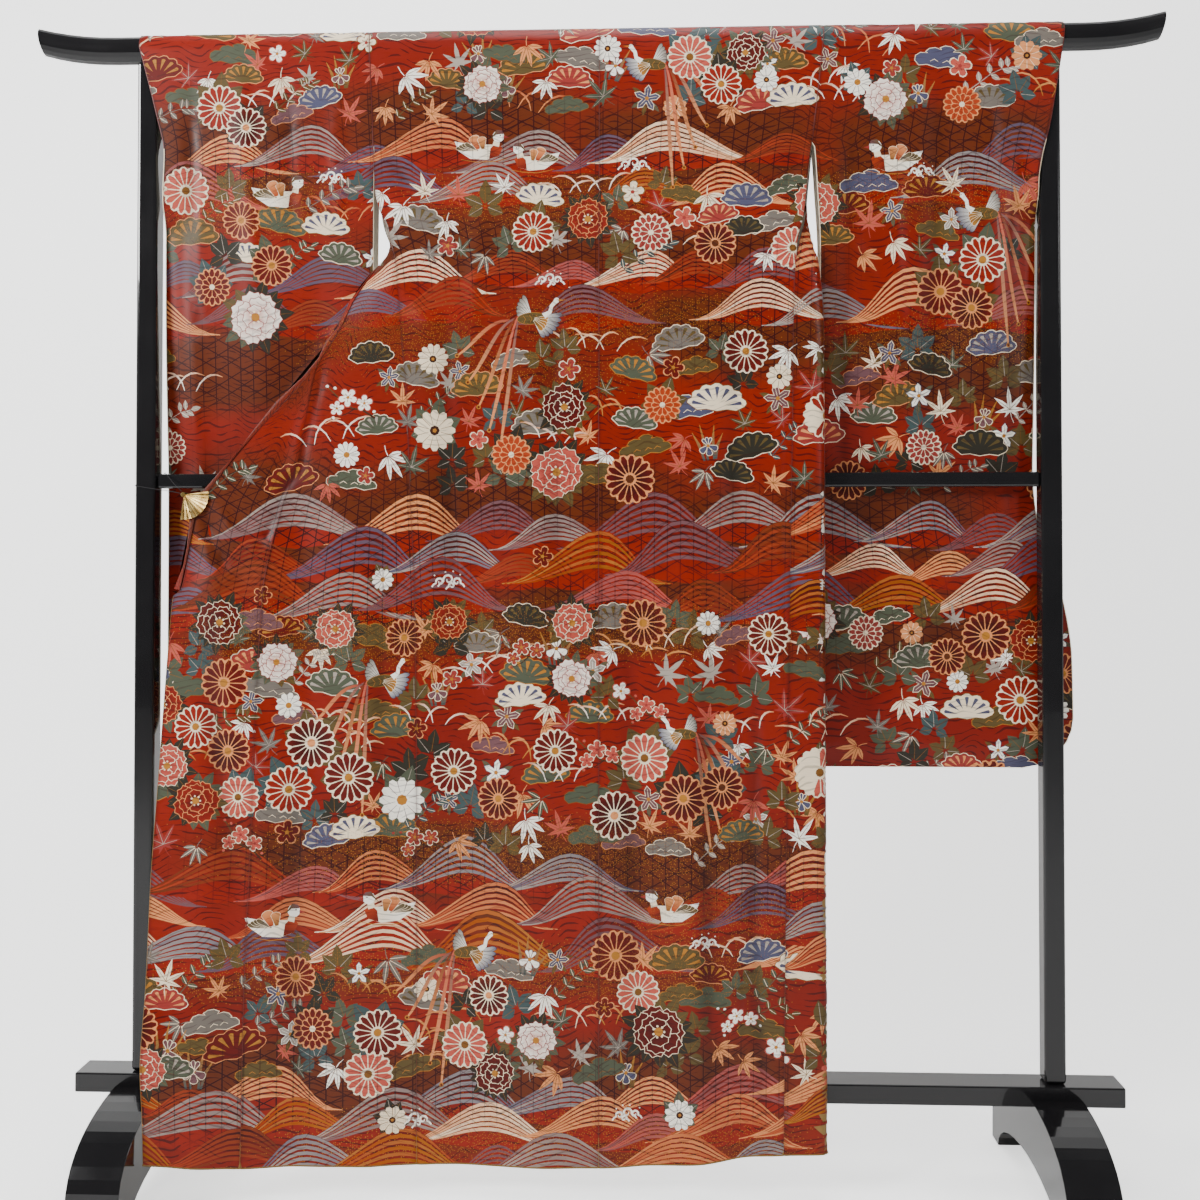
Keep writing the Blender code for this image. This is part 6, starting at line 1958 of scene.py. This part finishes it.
# node, name, piece, rims, lining
shells = (
    ("back_left", "back_panel_left", backPiece(backPanel["left"], -1), bodyRims, "body"),
    ("back_right", "back_panel_right", backPiece(backPanel["right"], 1), bodyRims, "body"),
    ("front_left", "front_panel_left", leftFrontPiece(leftFront), bodyRims, "body"),
    ("front_right", "front_panel_right", rightFrontPiece(rightFront), bodyRims, "body"),
    ("okumi_left", "overlap_strip_left", stripPiece(leftStrip, 1), stripRims, "body"),
    ("okumi_right", "overlap_strip_right", stripPiece(rightStrip, -1), stripRims, "body"),
    ("collar", "collar_band", collarPiece(collarGrid(leftFront, leftStrip, rightFront, rightStrip)),
     collarRims, "collar"),
    ("sleeve_left", "sleeve_shell_left", sleeveShell(sleevePiece["left"], backPanel["left"], -1),
     sleeveRims, "sleeve"),
    ("sleeve_right", "sleeve_shell_right", sleeveShell(sleevePiece["right"], backPanel["right"], 1),
     sleeveRims, "sleeve"),
)


# stitches and cord along a path
def newTree(name, inputs):
    tree = bpy.data.node_groups.new(name, "GeometryNodeTree")
    tree.interface.new_socket("Path", in_out="INPUT", socket_type="NodeSocketGeometry")
    for socket, kind in inputs.items():
        tree.interface.new_socket(socket, in_out="INPUT", socket_type="NodeSocket" + kind)
    tree.interface.new_socket("Made", in_out="OUTPUT", socket_type="NodeSocketGeometry")
    return tree, Net(tree), tree.nodes.new("NodeGroupInput").outputs, tree.nodes.new("NodeGroupOutput").inputs


def dressed(net, geometry, material):
    real = net.node("GeometryNodeRealizeInstances", {0: geometry}).outputs[0]
    return net.node("GeometryNodeSetMaterial", {"Geometry": real, "Material": material}).outputs[0]


def stitchTree():
    # small stitches set along a path, each turned a little its own way
    tree, net, start, end = newTree("stitch row", {
        "Apart": "Float", "Length": "Float", "Thickness": "Float", "Seed": "Int", "Thread": "Material"})
    places = net.node("GeometryNodeCurveToPoints", {"Curve": start["Path"], "Length": start["Apart"]},
                      mode="LENGTH").outputs
    ball = net.node("GeometryNodeMeshUVSphere", {"Segments": 6, "Rings": 4, "Radius": 0.5}).outputs["Mesh"]
    thick = start["Thickness"]
    size = net.node("ShaderNodeCombineXYZ", {"X": thick, "Y": thick, "Z": start["Length"]}).outputs[0]
    lean = 0.16
    chance = net.node("FunctionNodeRandomValue", {0: (-lean, -lean, -lean), 1: (lean, lean, lean),
                                                  "Seed": start["Seed"]}, data_type="FLOAT_VECTOR").outputs[0]
    turn = net.node("FunctionNodeRotateRotation", {0: places["Rotation"], 1: chance}).outputs[0]
    sewn = net.node("GeometryNodeInstanceOnPoints", {"Points": places["Points"], "Instance": ball,
                                                     "Rotation": turn, "Scale": size}).outputs[0]
    net.feed(end["Made"], dressed(net, sewn, start["Thread"]))
    return tree


def cordTree():
    # two strands laid round each other along a path
    tree, net, start, end = newTree("twisted cord", {
        "Reach": "Float", "Strand": "Float", "Turns": "Float", "Step": "Float", "Cord": "Material"})
    fine = net.node("GeometryNodeResampleCurve", {"Curve": start["Path"], "Length": start["Step"]},
                    mode="LENGTH").outputs[0]
    share = net.node("GeometryNodeSplineParameter").outputs["Factor"]
    normal = net.node("GeometryNodeInputNormal").outputs[0]
    beside = net.vectorMaths("CROSS_PRODUCT", {0: net.node("GeometryNodeInputTangent").outputs[0], 1: normal})
    ring = net.node("GeometryNodeCurvePrimitiveCircle", {"Resolution": 6, "Radius": start["Strand"]})
    both = net.node("GeometryNodeJoinGeometry")
    for phase in (0.0, math.pi):
        angle = net.scaled(share, start["Turns"], phase)
        out, off = (net.vectorMaths("SCALE",
                                    {0: way, "Scale": net.scaled(net.maths(wave, angle), start["Reach"])})
                    for way, wave in ((normal, "COSINE"), (beside, "SINE")))
        moved = net.node("GeometryNodeSetPosition",
                         {"Geometry": fine, "Offset": net.vectorMaths("ADD", {0: out, 1: off})})
        tube = net.node("GeometryNodeCurveToMesh",
                        {"Curve": moved.outputs[0], "Profile Curve": ring.outputs["Curve"],
                                                    "Fill Caps": True})
        net.feed(both.inputs[0], tube.outputs[0])
    smooth = net.node("GeometryNodeSetShadeSmooth", {"Geometry": both.outputs[0]}).outputs[0]
    net.feed(end["Made"], dressed(net, smooth, start["Cord"]))
    return tree


def alongPath(name, places, tree, values, material):
    # a path of points, its tree of nodes, then a plain mesh
    line = bpy.data.curves.new(name + " path", "CURVE")
    line.dimensions = "3D"
    spline = line.splines.new("POLY")
    spline.points.add(len(places) - 1)
    for point, place in zip(spline.points, places):
        point.co = (*place, 1.0)
    holder = addObject(name + " path", line)
    nodes = holder.modifiers.new("nodes", "NODES")
    nodes.node_group = tree
    for socket in tree.interface.items_tree:
        if socket.in_out == "INPUT" and socket.name in values:
            nodes[socket.identifier] = values[socket.name]
        elif socket.in_out == "INPUT" and socket.socket_type == "NodeSocketMaterial":
            nodes[socket.identifier] = material
    graph = bpy.context.evaluated_depsgraph_get()
    mesh = bpy.data.meshes.new_from_object(holder.evaluated_get(graph), depsgraph=graph)
    mesh.name = name
    bpy.data.objects.remove(holder)
    bpy.data.curves.remove(line)
    print(name, len(mesh.polygons), "faces")
    return addObject(name, mesh)


stitches = {"inset": 0.0065, "above": 0.00008, "Apart": 0.012, "Length": 0.002, "Thickness": 0.0005,
            "Seed": 3}
stitchNodes, cordNodes = stitchTree(), cordTree()


def stitchRow(title, piece, edge):
    # where the lining is sewn to the silk: along the hem, or along the sleeve's outer edge
    if edge == "last":
        flat = lineDown(piece, piece.width - stitches["inset"])
    else:
        flat = lineAcross(piece, stitches["inset"] if edge == "start" else piece.length - stitches["inset"])
    places, normals = piece.skin(flat, 1)[:2]
    made = alongPath(title, places + normals * stitches["above"], stitchNodes, stitches, thread)
    made.data.shade_smooth()
    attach(made, "root")
    return made


stitchEdges = {"back_left": "start", "back_right": "start", "front_left": "end", "front_right": "end",
               "okumi_left": "end", "okumi_right": "end", "sleeve_left": "last", "sleeve_right": "last"}
for node, title, piece, rims, liningTone in shells:
    made, count = makeShell(title, piece, rims, liningTone)
    sewn = [stitchRow(title + "_stitches", piece, stitchEdges[node])] if node in stitchEdges else []
    made.data.materials.append(silk)
    made.data.materials.append(lining if node != "collar" else silk)
    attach(made, "root")
    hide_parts(node)

# the clip's elastic
elasticRoute = Sizes("share x y z", (
    (0, -0.5884, -0.045, 0.995), (1, -0.6, -0.0385, 0.9975), (2, -0.618, -0.0275, 1.0005),
    (3, -0.636, -0.018, 1.003), (4, -0.644, -0.0171, 1.0045), (5, -0.654, -0.0171, 1.006),
    (6, -0.664, -0.0171, 1.0075), (7, -0.6685, -0.0155, 1.0085), (8, -0.6702, -0.011, 1.0095),
    (9, -0.6702, 0.0, 1.011), (10, -0.6702, 0.011, 1.013), (11, -0.6685, 0.0155, 1.014),
    (12, -0.664, 0.0171, 1.015), (13, -0.654, 0.0171, 1.018), (14, -0.644, 0.0171, 1.023),
    (15, -0.6385, 0.015, 1.0265), (16, -0.634, 0.008, 1.0278), (17, -0.628, -0.004, 1.0278),
    (18, -0.622, -0.013, 1.024), (19, -0.608, -0.028, 1.012), (20, -0.589, -0.045, 0.9985),
))
elasticCord = {"Reach": 0.00027, "Strand": 0.00031, "Turns": 520.0, "Step": 0.0009}
route = curveThrough([Vector([elasticRoute.read(axis, n) for axis in "xyz"]) for n in elasticRoute.keys], 54)
loop = alongPath("elastic_loop", route, cordNodes, elasticCord, elastic)
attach(loop, "root")
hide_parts("clip_elastic")
